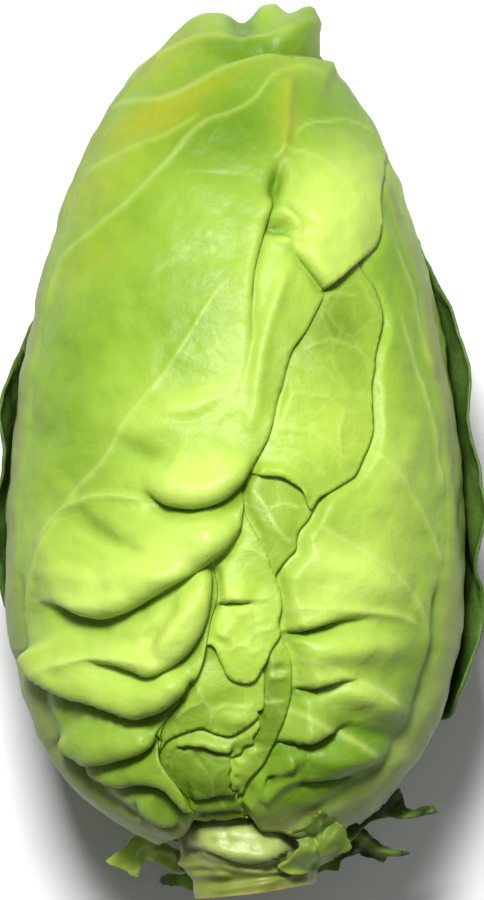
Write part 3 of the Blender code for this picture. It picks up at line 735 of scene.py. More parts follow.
def cut_sheet(counts: tuple[int, int], flat: np.ndarray, cell: np.ndarray,
              rim: Outline) -> bmesh.types.BMesh:
    """Cut a grid of places to an outline.

    Args:
        counts: Columns and rows of the grid.
        flat: Flat places of the grid's points, row by row.
        cell: Size of the cells round each point.
        rim: The outline.

    Returns:
        The flat sheet.
    """
    sheet = bmesh.new()
    bmesh.ops.create_grid(sheet, x_segments=counts[0] - 1, y_segments=counts[1] - 1, size=1.0)
    share = (np.array([vert.co[:2] for vert in sheet.verts]) + 1.0) / 2.0
    column = np.rint(share[:, 0] * (counts[0] - 1)).astype(int)
    row = np.rint(share[:, 1] * (counts[1] - 1)).astype(int)
    order = row * counts[0] + column
    flat, cell = flat[order], cell[order]
    inner = rim.contains(flat)
    distance, foot = rim.feet(flat, 4.0 * float(cell.max()))
    snapped = distance < 0.5 * cell
    flat = np.where(snapped[:, None], foot, flat)
    for vert, place in zip(sheet.verts, flat):
        vert.co = (place[0], place[1], 0.0)
    sheet.verts.ensure_lookup_table()
    away = [sheet.verts[k] for k in np.flatnonzero(~(inner | snapped))]
    bmesh.ops.delete(sheet, geom=away, context="VERTS")
    settle_edge(sheet, rim, float(np.median(cell)))
    return sheet


def settle_edge(sheet: bmesh.types.BMesh, rim: Outline, cell: float) -> None:
    """Bring a flat sheet's border onto the outline and even out the cells next to it.

    Args:
        sheet: The sheet, changed in place.
        rim: The outline.
        cell: Usual size of a cell.
    """
    for _ in range(2):
        border = [vert for vert in sheet.verts if vert.is_boundary]
        _, foot = rim.feet(np.array([vert.co[:2] for vert in border]), 6.0 * cell)
        for vert, place in zip(border, foot):
            vert.co = (place[0], place[1], 0.0)
        thin = [face for face in sheet.faces if face.calc_area() < (0.15 * cell) ** 2]
        bmesh.ops.delete(sheet, geom=thin, context="FACES")
        loose = [vert for vert in sheet.verts if not vert.link_faces]
        bmesh.ops.delete(sheet, geom=loose, context="VERTS")
    ring = {vert for vert in sheet.verts if vert.is_boundary}
    near = {edge.other_vert(vert) for vert in ring for edge in vert.link_edges}
    near |= {edge.other_vert(vert) for vert in near for edge in vert.link_edges}
    for _ in range(3):
        bmesh.ops.smooth_vert(sheet, verts=list(near - ring), factor=0.5,
                              use_axis_x=True, use_axis_y=True, use_axis_z=False)


@dataclass
class SheetMaker:
    """Cuts a grid to a leaf's outline and lays it in place as a thin closed sheet."""

    stack: Stack
    back_share: float = 0.42
    upper_share: float = 0.82

    def columns(self, low: float, high: float, step: float) -> np.ndarray:
        """Space the grid's columns, close together on the upper side.

        Args:
            low: Lowest turn, in radians.
            high: Highest turn, in radians.
            step: Mesh step on the upper side, in metres.

        Returns:
            Turns of the columns.
        """
        turn = np.linspace(low, high, 1200)
        density = 1.0 - (1.0 - self.back_share) * smooth_step(-np.cos(turn), -0.25, 0.25)
        run = np.concatenate(([0.0], np.cumsum(0.5 * (density[1:] + density[:-1]) * np.diff(turn))))
        count = math.ceil(run[-1] * HEAD.half_width / step)
        return np.interp(np.linspace(0.0, run[-1], count + 1), run, turn)

    def rows(self, low: float, high: float, step: float) -> np.ndarray:
        """Space the grid's rows, closer together over the folded lower half.

        Args:
            low: Lowest distance along, in metres.
            high: Highest distance along, in metres.
            step: Mesh step over the folds, in metres.

        Returns:
            Distances along of the rows.
        """
        along = np.linspace(low, high, 1200)
        row = HEAD.row(along)
        density = 1.0 - (1.0 - self.upper_share) * smooth_step(-row, -480.0, -400.0)
        run = np.concatenate(([0.0], np.cumsum(0.5 * (density[1:] + density[:-1]) * np.diff(along))))
        count = math.ceil(run[-1] / step)
        return np.interp(np.linspace(0.0, run[-1], count + 1), run, along)

    def gathered(self, leaf: Leaf, turn: np.ndarray, along: np.ndarray) -> tuple[np.ndarray, np.ndarray]:
        """Draw grid places closer to the leaf's folds and veins.

        Args:
            leaf: The leaf.
            turn: Turns of the places.
            along: Distances along of the places.

        Returns:
            New turns and distances along.
        """
        facing = smooth_step(np.cos(turn), 0.30, 0.55) * smooth_step(HEAD.half(along), 0.012, 0.026)
        for side in Side:
            start = leaf.places(side, turn, along)
            places = start.copy()
            weight = facing if side is Side.FRONT else np.ones(len(turn))
            for form in leaf.forms:
                if form.side is side:
                    places += form.gather(places) * weight[:, None]
            shift = (places - start) * UNIT
            if side is Side.FRONT:
                width = np.maximum(HEAD.half(along) * np.maximum(np.cos(turn), 0.3), 0.006)
            else:
                width = HEAD.flat_width(along)
            turn = turn + shift[:, 0] / width
            along = np.clip(along - shift[:, 1], 0.002, HEAD.end - 0.0015)
        return turn, along

    def trimmed(self, leaf: Leaf) -> bmesh.types.BMesh:
        """Cut a grid to the outline, with every vertex at its unrolled place.

        Args:
            leaf: The leaf to cut.

        Returns:
            The flat sheet.
        """
        turns, alongs = leaf.outline[:, 0], leaf.outline[:, 1]
        columns = self.columns(turns.min() - 0.05, turns.max() + 0.05, leaf.step)
        rows = self.rows(max(alongs.min() - 0.003, 0.002), min(alongs.max() + 0.003, HEAD.end - 0.0015),
                         leaf.step)
        column, row = np.meshgrid(np.arange(len(columns)), np.arange(len(rows)))
        column, row = column.ravel(), row.ravel()
        turn, along = self.gathered(leaf, columns[column], rows[row])
        width = np.gradient(columns)[column] * HEAD.flat_width(along)
        cell = np.sqrt(width * np.gradient(rows)[row])
        return cut_sheet((len(columns), len(rows)), leaf.flat(turn, along), cell, leaf.rim)

    def make(self, index: int) -> bpy.types.Object:
        """Build one leaf of the stack.

        Args:
            index: Number of the leaf in the stack.

        Returns:
            The finished piece.
        """
        leaf = self.stack.leaves[index]
        sheet = self.trimmed(leaf)
        flat = np.array([vert.co[:2] for vert in sheet.verts])
        along = flat[:, 1]
        turn = leaf.turn_middle + flat[:, 0] / HEAD.flat_width(along)
        points = self.stack.place(index, turn, along)
        for vert, point in zip(sheet.verts, points):
            vert.co = point
        sheet.normal_update()
        sheet.faces.ensure_lookup_table()
        face = sheet.faces[len(sheet.faces) // 2]
        outward = HEAD.normal(turn, along)[face.verts[0].index]
        if face.normal.dot(Vector(outward)) < 0.0:
            bmesh.ops.reverse_faces(sheet, faces=sheet.faces)
        piece = sheet_piece(leaf.name, sheet, leaf.thickness)
        for name, values in leaf.masks(turn, along).items():
            set_mask(piece.data, name, values)
        set_lay(piece.data, np.column_stack([flat, np.zeros(len(flat))]))
        return piece


def sheet_piece(node: str, sheet: bmesh.types.BMesh, thickness: float) -> bpy.types.Object:
    """Turn an open sheet into the thin closed piece that stands for a node.

    Args:
        node: Name of the node.
        sheet: The sheet, used up.
        thickness: Thickness of the wall under it.

    Returns:
        The piece.
    """
    piece = solid_piece(node, sheet, "_blade")
    wall = piece.modifiers.new("Thickness", "SOLIDIFY")
    wall.thickness = thickness
    wall.offset = -1.0
    return piece


def solid_piece(node: str, body: bmesh.types.BMesh, ending: str = "_body") -> bpy.types.Object:
    """Turn a body into the smooth piece that stands for a node.

    Args:
        node: Name of the node.
        body: The body, used up.
        ending: End of the piece's name.

    Returns:
        The piece.
    """
    mesh = bpy.data.meshes.new(node + ending)
    body.to_mesh(mesh)
    body.free()
    mesh.shade_smooth()
    piece = bpy.data.objects.new(node + ending, mesh)
    bpy.context.scene.collection.objects.link(piece)
    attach(piece, "root")
    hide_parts(node)
    return piece


def set_mask(mesh: bpy.types.Mesh, name: str, values: np.ndarray) -> None:
    """Store a mask on a mesh's points, for its material to read."""
    layer = mesh.attributes.new(name, "FLOAT", "POINT")
    layer.data.foreach_set("value", np.clip(values, 0.0, 1.0).astype(np.float32))


def set_lay(mesh: bpy.types.Mesh, places: np.ndarray) -> None:
    """Store the unrolled places of a mesh's points, for patterns that follow the leaf."""
    layer = mesh.attributes.new("lay", "FLOAT_VECTOR", "POINT")
    layer.data.foreach_set("vector", places.astype(np.float32).ravel())


def around(middle: float, pairs: Points) -> Line:
    """Draw a line round the head on a leaf's unrolled drawing.

    Args:
        middle: Degrees of turn of the leaf's middle.
        pairs: Degrees of turn and drawing row of each point.

    Returns:
        The line in the unrolled drawing.
    """
    degrees = np.array([pair[0] for pair in pairs], dtype=float)
    row = np.array([pair[1] for pair in pairs], dtype=float)
    width = HEAD.flat_width(HEAD.along_from_row(row))
    return Line(list(zip(np.radians(degrees - middle) * width / UNIT, row)))


def side_veins(midrib: Line, side: float, rows: list[float], reach: float, rise: float) -> list[Form]:
    """Grow pale side veins from a midrib on the unrolled drawing.

    Args:
        midrib: Line of the midrib.
        side: Plus one for veins to the right, minus one to the left.
        rows: Rows where the veins leave the midrib.
        reach: How far they go sideways.
        rise: How far they climb towards the tip.

    Returns:
        The veins.
    """
    veins: list[Form] = []
    order = np.argsort(midrib.points[:, 1])
    for number, row in enumerate(rows):
        x = float(np.interp(row, midrib.points[order, 1], midrib.points[order, 0]))
        sway = 0.12 * math.sin(2.3 * number + side)
        line = [(x + side * reach * s, row - rise * (s + sway * s * (1 - s)) * (0.55 + 0.45 * s))
                for s in (0.0, 0.2, 0.45, 0.7, 1.0)]
        veins.append(Vein(Line(line), heights=(0.0003, 0.0002), widths=(3.6, 2.0), ends=0.3,
                          side=Side.AROUND))
        for share in (0.35, 0.65):
            start = np.array(line[0]) + (np.array(line[-1]) - np.array(line[0])) * share
            twig = [tuple(start), tuple(start + (side * reach * 0.10, -rise * 0.28)),
                    tuple(start + (side * reach * 0.28, -rise * 0.50))]
            veins.append(Vein(Line(twig), heights=(0.0003, 0.0001), widths=(2.4, 1.6), paleness=0.5,
                              side=Side.AROUND))
    return veins


@dataclass
class OuterLeaves:
    """The large left leaf that wraps over the front and the tip, and the right leaf below it."""

    left_middle: float = -45.0
    right_middle: float = 95.0
    left_level: float = 0.0
    right_level: float = 0.0

    def left_outline(self) -> np.ndarray:
        """Draw the left leaf's outline from the tip down its free margin and round the back."""
        front = [(384, 160), (382, 178), (377, 195), (376, 210), (380, 225), (378, 240), (372, 252),
                 (355, 266), (340, 280), (325, 291), (320, 305), (306, 330), (296, 345), (289, 356),
                 (285, 370), (278, 400), (270, 430), (257, 458), (242, 480), (244, 500), (243, 515),
                 (236, 535), (224, 548), (212, 558), (216, 580), (214, 605), (206, 643), (199, 668),
                 (182, 692), (168, 712), (157, 730), (160, 746), (172, 763), (183, 777), (190, 791),
                 (195, 807)]
        return np.vstack([
            HEAD.turned([(104, 40), (106, 62), (104, 90), (102, 118), (98, 142)]),
            HEAD.seen(front),
            HEAD.turned([(-28, 826), (-50, 833), (-80, 837), (-110, 838), (-140, 835), (-158, 808),
                         (-172, 720), (-184, 620), (-190, 500), (-192, 380), (-192, 260), (-192, 160),
                         (-190, 90), (-176, 48), (-145, 28), (-110, 18), (-70, 10), (0, 8.9),
                         (70, 10.5)]),
        ])

    def left_midrib(self) -> Line:
        """Draw the left leaf's midrib from the stump to the tip."""
        return around(self.left_middle, [
            (-48, 826), (-60, 806), (-68, 780), (-73, 750), (-77, 715), (-80, 680), (-82, 640),
            (-81, 589), (-79, 527), (-77, 465), (-76, 403), (-77, 342), (-79, 278), (-82, 225),
            (-84, 173), (-76, 102), (-60, 60)])

    def left_lips(self) -> list[Form]:
        """Give the rolled pleats of the left leaf, from the tip to the stump."""
        return [
            Lip(Line([(342, 66), (322, 60), (300, 59), (270, 58), (245, 58), (215, 66)]),
                height=0.0026, reach=30, groove=0.0042, overhang=3.2, ends=(0.1, 0.5), spread=1.8),
            Lip(Line([(286, 250), (299, 263), (311, 277), (326, 294)]),
                height=0.0030, reach=34, groove=0.0020, overhang=4.5, ends=(0.34, 0.02), spread=1.6),
            Lip(Line([(212, 416), (232, 404), (244, 380), (251, 345), (252, 310), (254, 276), (261, 245),
                      (269, 218), (276, 196)]),
                height=0.0014, reach=18, groove=0.0014, overhang=2.4, ends=(0.9, 0.06), spread=2.0),
            Lip(Line([(138, 491), (150, 495), (165, 501), (185, 505), (200, 505), (220, 499),
                      (236, 487), (250, 471), (264, 448)]),
                height=0.0050, reach=40, groove=0.0036, overhang=6.0, ends=(0.24, 0.3), spread=2.2),
            Lip(Line([(34, 600), (63, 603), (85, 610), (103, 613), (116, 611), (130, 606), (144, 598),
                      (168, 584), (192, 570), (216, 553), (236, 536), (254, 514)]),
                height=0.0048, reach=40, groove=0.0036, overhang=6.0, ends=(0.22, 0.22), spread=2.4),
            Lip(Line([(84, 653), (105, 658), (122, 660), (140, 664), (151, 668), (164, 664),
                      (180, 654), (194, 640), (206, 617), (211, 586), (211, 560)]),
                height=0.0036, reach=60, groove=0.0028, overhang=4.2, ends=(0.3, 0.05), spread=2.0),
            Lip(Line([(22, 648), (35, 670), (51, 681), (72, 691), (96, 697), (116, 703), (137, 710),
                      (151, 707), (166, 701), (182, 687), (198, 667)]),
                height=0.0050, reach=34, groove=0.0036, overhang=5.5, ends=(0.05, 0.1), spread=2.0),
            Lip(Line([(58, 732), (78, 751), (103, 754), (127, 749), (147, 742), (160, 729)]),
                height=0.0038, reach=26, groove=0.0030, overhang=4.5, ends=(0.1, 0.08), spread=1.8),
            Lip(Line([(76, 752), (92, 768), (109, 776), (127, 779), (140, 776), (163, 779),
                      (178, 792), (194, 810)]),
                height=0.0036, reach=20, groove=0.0034, overhang=4.0, ends=(0.1, 0.12), spread=1.8),
            Lip(Line([(136, 790), (150, 806), (168, 817), (184, 818)]),
                height=0.0016, reach=14, groove=0.0012, overhang=2.5, ends=(0.2, 0.2)),
        ]

    def left_relief(self) -> list[Form]:
        """Give the soft mounds, hollows, ridges and furrows of the left leaf."""
        return [
            Mound(Line([(330, 190)]), size=(50, 66), height=0.0026, angle=20),
            Mound(Line([(297, 27)]), size=(26, 22), height=0.0068, steep=2.0),
            Mound(Line([(264, 14)]), size=(11, 10), height=0.0034, steep=1.8),
            Mound(Line([(283, 18)]), size=(4.5, 8), height=-0.0020, angle=-20),
            Mound(Line([(301, 24)]), size=(12, 10), height=0.0036, steep=1.8),
            Mound(Line([(317, 46)]), size=(7, 8), height=0.0012),
            Mound(Line([(283, 27)]), size=(15, 9), height=-0.0016, angle=8),
            Mound(Line([(243, 11)]), size=(16, 28), height=-0.0034),
            Ridge(Line([(244, 38), (268, 42), (288, 43), (304, 39), (318, 32)]),
                  heights=(0.0008, 0.0016), widths=(4.5, 3.6)),
            Mound(Line([(200, 16)]), size=(24, 26), height=0.0012),
            Mound(Line([(276, 188)]), size=(7, 18), height=-0.0040, angle=12),
            Mound(Line([(180, 415)]), size=(40, 16), height=0.0012, angle=-24),
            Mound(Line([(152, 455)]), size=(34, 10), height=-0.0013, angle=20),
            Mound(Line([(186, 478)]), size=(44, 15), height=0.0010),
            Mound(Line([(104, 530)]), size=(46, 10), height=-0.0013, angle=34),
            Mound(Line([(200, 530)]), size=(30, 24), height=0.0012, angle=-30),
            Mound(Line([(58, 560)]), size=(22, 30), height=0.0010),
            Ridge(Line([(200, 586), (190, 606), (178, 626), (166, 646), (160, 654)]),
                  heights=(0.0014, 0.0038), widths=(9, 11), ends=0.25, draws_in=0.0),
            Ridge(Line([(184, 592), (170, 610), (158, 628), (150, 644)]),
                  heights=(-0.0010, -0.0018), widths=(6, 6), ends=0.25, draws_in=0.0),
            Mound(Line([(128, 634)]), size=(36, 8), height=-0.0012, angle=6),
            Mound(Line([(84, 574)]), size=(40, 9), height=0.0010, angle=8),
            Mound(Line([(120, 540)]), size=(30, 6), height=-0.0008, angle=24),
            Mound(Line([(150, 560)]), size=(26, 10), height=0.0008, angle=-30),
            Mound(Line([(150, 686)]), size=(34, 12), height=0.0010, angle=-18),
            Mound(Line([(108, 733)]), size=(34, 9), height=0.0010, angle=-6),
            Mound(Line([(150, 778)]), size=(14, 5), height=-0.0024, angle=4),
            Ridge(Line([(288, 80), (286, 112), (283, 142), (280, 168)]),
                  heights=(0.0016, 0.0014), widths=(8, 6)),
            Ridge(Line([(294, 254), (282, 285), (271, 315), (263, 345), (258, 378), (254, 410), (243, 452)]),
                  heights=(0.0016, 0.0013), widths=(7, 8), ends=0.25, draws_in=0.2),
            Ridge(Line([(283, 204), (292, 216), (306, 224), (322, 240)]),
                  heights=(-0.0012, -0.0008), widths=(4.5, 4), ends=0.4, draws_in=0.0),
            Ridge(Line([(279, 222), (286, 234), (300, 242), (308, 258)]),
                  heights=(-0.0020, -0.0012), widths=(5, 4), ends=0.35, draws_in=0.0),
            Ridge(Line([(268, 214), (282, 219), (294, 230), (302, 250)]),
                  heights=(0.0024, 0.0014), widths=(4, 4.5), ends=0.35, draws_in=0.0),
            Mound(Line([(275, 233)]), size=(11, 6), height=-0.0040, angle=24),
            Mound(Line([(283, 247)]), size=(10, 5), height=0.0020, angle=30),
            Ridge(Line([(302, 190), (320, 212), (346, 226)]),
                  heights=(-0.0004, -0.0003), widths=(5, 4), ends=0.4, draws_in=0.0),
            Ridge(Line([(158, 417), (176, 421), (194, 420), (214, 411), (234, 394)]),
                  heights=(-0.0012, -0.0006), widths=(5, 4.5), ends=0.3, draws_in=0.0),
            Ridge(Line([(40, 597), (72, 597), (100, 600), (140, 590)]),
                  heights=(0.0008, 0.0006), widths=(5, 6)),
            Ridge(Line([(62, 663), (92, 652), (124, 650), (150, 654)]),
                  heights=(0.0012, 0.0010), widths=(6, 5)),
            Ridge(Line([(26, 560), (22, 600), (24, 640), (36, 676), (52, 716), (72, 752), (100, 782),
                        (134, 803), (168, 818)]),
                  heights=(-0.0012, -0.0022), widths=(5, 6), draws_in=0.0),
            Ridge(Line([(188, 174), (220, 179), (252, 178)]), heights=(-0.0004, -0.0003), widths=(2.2, 2)),
        ]

    def left_veins(self) -> list[Form]:
        """Give the left leaf's midrib and side veins, and veins of its unseen back."""
        front = [
            ([(20, 640), (42, 560), (72, 500), (105, 462), (130, 420), (170, 370), (214, 300),
              (238, 270)], (0.0008, 0.0003), (3.6, 2.0), 0.62),
            ([(40, 335), (60, 270), (90, 240), (130, 205), (165, 168), (200, 130), (232, 116),
              (256, 100), (272, 82), (292, 75), (320, 78), (346, 95)], (0.0007, 0.0003), (3.4, 1.8), 0.5),
            ([(82, 178), (100, 168), (130, 152), (165, 140), (205, 116)], (0.0005, 0.0002), (3.5, 2), 0.4),
            ([(98, 112), (130, 104), (164, 101), (200, 83), (240, 66), (290, 62)],
             (0.0006, 0.0003), (3.6, 2.4), 0.5),
            ([(112, 92), (140, 66), (172, 48), (205, 38), (250, 37), (300, 45)],
             (0.0006, 0.0003), (3.6, 2.6), 0.45),
            ([(290, 146), (304, 131), (326, 126), (350, 126), (376, 140)], (0.0004, 0.0002), (1.8, 1.4), 0.6),
            ([(276, 154), (300, 160), (322, 171), (345, 186), (370, 195)], (0.0004, 0.0002), (1.8, 1.4), 0.6),
            ([(40, 545), (62, 512), (92, 497), (118, 495), (150, 500)], (0.0007, 0.0008), (3.0, 3.0), 0.75),
            ([(150, 281), (176, 262), (200, 246), (218, 232)], (0.0002, 0.0001), (1.6, 1.3), 0.3),
            ([(184, 176), (214, 177), (244, 179), (262, 176)], (0.0002, 0.0001), (1.4, 1.2), 0.3),
            ([(28, 598), (72, 598), (116, 601), (142, 597)], (0.0002, 0.0002), (2.4, 2), 0.9),
            ([(40, 668), (80, 655), (120, 651), (160, 655), (180, 648)], (0.0004, 0.0003), (3, 2.6), 0.8),
            ([(66, 706), (100, 712), (140, 722), (156, 722)], (0.0003, 0.0002), (2.4, 2), 0.5),
            ([(84, 600), (120, 570), (150, 556), (190, 540)], (0.0003, 0.0002), (2.6, 1.8), 0.2),
        ]
        veins: list[Form] = [Vein(Line(line), heights=heights, widths=widths, paleness=paleness)
                             for line, heights, widths, paleness in front]
        midrib = self.left_midrib()
        veins.append(Petiole(midrib, heights=(0.0016, 0.0004), widths=(48, 6), side=Side.AROUND,
                             draws_in=0.0))
        veins += side_veins(midrib, -1.0, [640, 540, 450, 370, 290, 215, 150], 300.0, 190.0)
        return veins

    def left(self) -> Leaf:
        """Describe the left leaf."""
        return Leaf(
            "leaf_left", self.left_middle, self.left_outline(), self.left_level, "head", "head_leaf",
            forms=self.left_lips() + self.left_relief() + self.left_veins(), seed=3, step=0.00102,
            # Of these patches, the gold and pale ones are the leaf's own tones. The darkening ones are partly a
            # deeper real green and partly painted shade under the tip curl, over the tip and towards the stump.
            # The lightening ones are painted light and highlights.
            patches=[
                Patch("gold", (150, 125), (62, 20), 0.75, -18), Patch("gold", (150, 60), (60, 22), 0.6, -24),
                Patch("gold", (100, 190), (50, 24), 0.45, -40), Patch("gold", (205, 90), (60, 8), 0.5, -22),
                Patch("gold", (95, 262), (40, 14), 0.4, -35), Patch("gold", (285, 120), (12, 40), 0.6),
                Patch("deep", (240, 50), (46, 12), 0.9, 4), Patch("deep", (160, 250), (90, 120), 0.35, 20),
                Patch("deep", (235, 140), (60, 40), 0.6), Patch("deep", (340, 110), (40, 40), 0.5),
                Patch("deep", (300, 30), (24, 22), 0.5), Patch("deep", (70, 420), (40, 80), 0.5),
                Patch("bright", (330, 225), (46, 60), 1.0, 20), Patch("bright", (180, 408), (60, 18), 0.6, -20),
                Patch("bright", (150, 560), (100, 60), 0.5), Patch("bright", (120, 640), (90, 40), 0.5), Patch("bright", (172, 636), (12, 24), 0.7, 24),
                Patch("bright", (250, 330), (30, 90), 0.5, 14), Patch("bright", (200, 470), (60, 50), 0.5),
                Patch("deep", (130, 775), (90, 56), 0.7, 20), Patch("deep", (215, 90), (110, 70), 0.6, -10),
                Patch("pale", (170, 822), (26, 7), 0.6, 10),
            ])

    def right_outline(self) -> np.ndarray:
        """Draw the right leaf's outline, mostly hidden under its neighbours."""
        return np.vstack([
            HEAD.seen([(268, 90), (330, 90)], -0.0030),
            HEAD.turned([(62, 60), (84, 30), (104, 17), (140, 13), (172, 22), (186, 80), (192, 160), (194, 260),
                         (194, 380), (194, 500), (188, 620), (176, 720), (160, 808), (142, 834),
                         (110, 838), (80, 838), (54, 836)]),
            HEAD.seen([(296, 814), (262, 814), (242, 810), (236, 796), (240, 776), (256, 754), (266, 728),
                       (268, 690),
                       (264, 640), (258, 560), (250, 470), (236, 380), (240, 250), (250, 150)], -0.0036),
        ])

    def right_midrib(self) -> Line:
        """Draw the right leaf's midrib from the stump to the tip."""
        return around(self.right_middle, [
            (46, 826), (55, 806), (60, 780), (65, 750), (69, 715), (72, 670), (73, 614), (75, 558),
            (76, 500), (74, 434), (70, 373), (71, 300), (68, 241), (64, 185), (60, 120)])

    def right_forms(self) -> list[Form]:
        """Give the right leaf's folds, soft relief and veins."""
        lips: list[Form] = [
            Lip(Line([(262, 630), (284, 628), (304, 624), (324, 619), (344, 615), (376, 614)]),
                height=0.0030, reach=15, groove=0.0040, overhang=3.4, ends=(0.02, 0.6), spread=2.2),
            Lip(Line([(268, 689), (292, 685), (316, 680), (340, 675), (366, 672)]),
                height=0.0034, reach=20, groove=0.0038, overhang=3.2, ends=(0.02, 0.6), spread=2.2),
            Lip(Line([(246, 768), (258, 754), (273, 742), (291, 735), (308, 733), (328, 727),
                      (356, 720)]),
                height=0.0044, reach=20, groove=0.0048, overhang=4.0, ends=(0.03, 0.4), spread=1.8),
            Lip(Line([(292, 776), (312, 772), (334, 769), (356, 768)]),
                height=0.0022, reach=16, groove=0.0028, overhang=2.8, ends=(0.3, 0.4), spread=1.6),
        ]
        relief: list[Form] = [
            Mound(Line([(352, 643)]), size=(48, 15), height=0.0042, angle=-2),
            Mound(Line([(352, 572)]), size=(46, 20), height=0.0026, angle=30),
            Mound(Line([(340, 534)]), size=(34, 10), height=-0.0008, angle=34),
            Mound(Line([(368, 693)]), size=(38, 15), height=0.0042, angle=30),
            Mound(Line([(330, 664)]), size=(34, 7), height=-0.0010, angle=22),
            Mound(Line([(345, 749)]), size=(40, 13), height=0.0044, angle=2),
            Mound(Line([(350, 722)]), size=(34, 6), height=-0.0012, angle=14),
            Mound(Line([(392, 480)]), size=(24, 90), height=0.0012, angle=6),
            Mound(Line([(270, 773)]), size=(4, 8), height=-0.0030, angle=35),
            Ridge(Line([(238, 786), (257, 769), (274, 758), (296, 752)]),
                  heights=(0.0024, 0.0024), widths=(6, 7)),
            Ridge(Line([(262, 796), (280, 777), (300, 768)]), heights=(0.0014, 0.0010), widths=(5, 5)),
            Ridge(Line([(304, 736), (305, 746), (303, 757)]), heights=(-0.0010, -0.0006), widths=(2.4, 2)),
            Ridge(Line([(439, 575), (434, 623), (424, 678), (406, 720), (385, 750), (350, 783)]),
                  heights=(-0.0018, -0.0032), widths=(6, 7), draws_in=0.0),
        ]
        veins: list[Form] = [Vein(Line(line), heights=heights, widths=widths, paleness=paleness)
                             for line, heights, widths, paleness in [
            ([(425, 630), (418, 608), (404, 587), (383, 567), (360, 549), (334, 533), (312, 519)],
             (0.0007, 0.0004), (3.4, 2.4), 0.9),
            ([(420, 629), (406, 617), (386, 611), (355, 607), (324, 603), (296, 603), (278, 607)],
             (0.0008, 0.0012), (3.6, 4.6), 0.9),
            ([(394, 704), (381, 690), (360, 677), (334, 665), (309, 654), (285, 648)],
             (0.0007, 0.0004), (3.4, 2.6), 0.9),
            ([(372, 749), (360, 739), (339, 726), (324, 719), (309, 710), (296, 706), (281, 708)],
             (0.0007, 0.0004), (3.4, 2.4), 0.9),
            ([(440, 572), (429, 536), (406, 493), (382, 462), (352, 436)], (0.0006, 0.0003), (3, 2), 0.7),
            ([(442, 496), (432, 440), (412, 360), (396, 310)], (0.0005, 0.0002), (3, 2), 0.7),
            ([(430, 380), (412, 300), (392, 240)], (0.0004, 0.0002), (2.6, 2), 0.5),
            ([(350, 600), (330, 585), (300, 578)], (0.0002, 0.0001), (2, 1.4), 0.3),
            ([(370, 682), (350, 700), (320, 700)], (0.0002, 0.0001), (2, 1.4), 0.3),
        ]]
        midrib = self.right_midrib()
        veins.append(Petiole(midrib, heights=(0.0018, 0.0004), widths=(54, 6), side=Side.AROUND,
                             draws_in=0.0))
        veins += side_veins(midrib, 1.0, [640, 540, 450, 370, 290, 215, 150], 290.0, 190.0)
        return lips + relief + veins

    def right(self) -> Leaf:
        """Describe the right leaf."""
        return Leaf(
            "leaf_right", self.right_middle, self.right_outline(), self.right_level, "head", "head_leaf",
            forms=self.right_forms(), seed=5, step=0.00100,
            # Of these patches, the darkening ones are painted shade towards the right side and the stump, the
            # lightening ones are painted light on the bulges, and the pale ones are the leaf's own pale base.
            patches=[
                Patch("deep", (400, 300), (40, 90), 0.4, -10), Patch("deep", (405, 700), (30, 50), 0.5, 20),
                Patch("deep", (330, 762), (105, 54), 0.95, -8),
                Patch("bright", (340, 575), (60, 50), 0.9), Patch("bright", (390, 480), (40, 70), 0.4),
                Patch("bright", (350, 690), (50, 30), 0.4), Patch("pale", (330, 808), (60, 12), 0.7, -8),
                Patch("pale", (270, 818), (40, 7), 0.9),
            ])


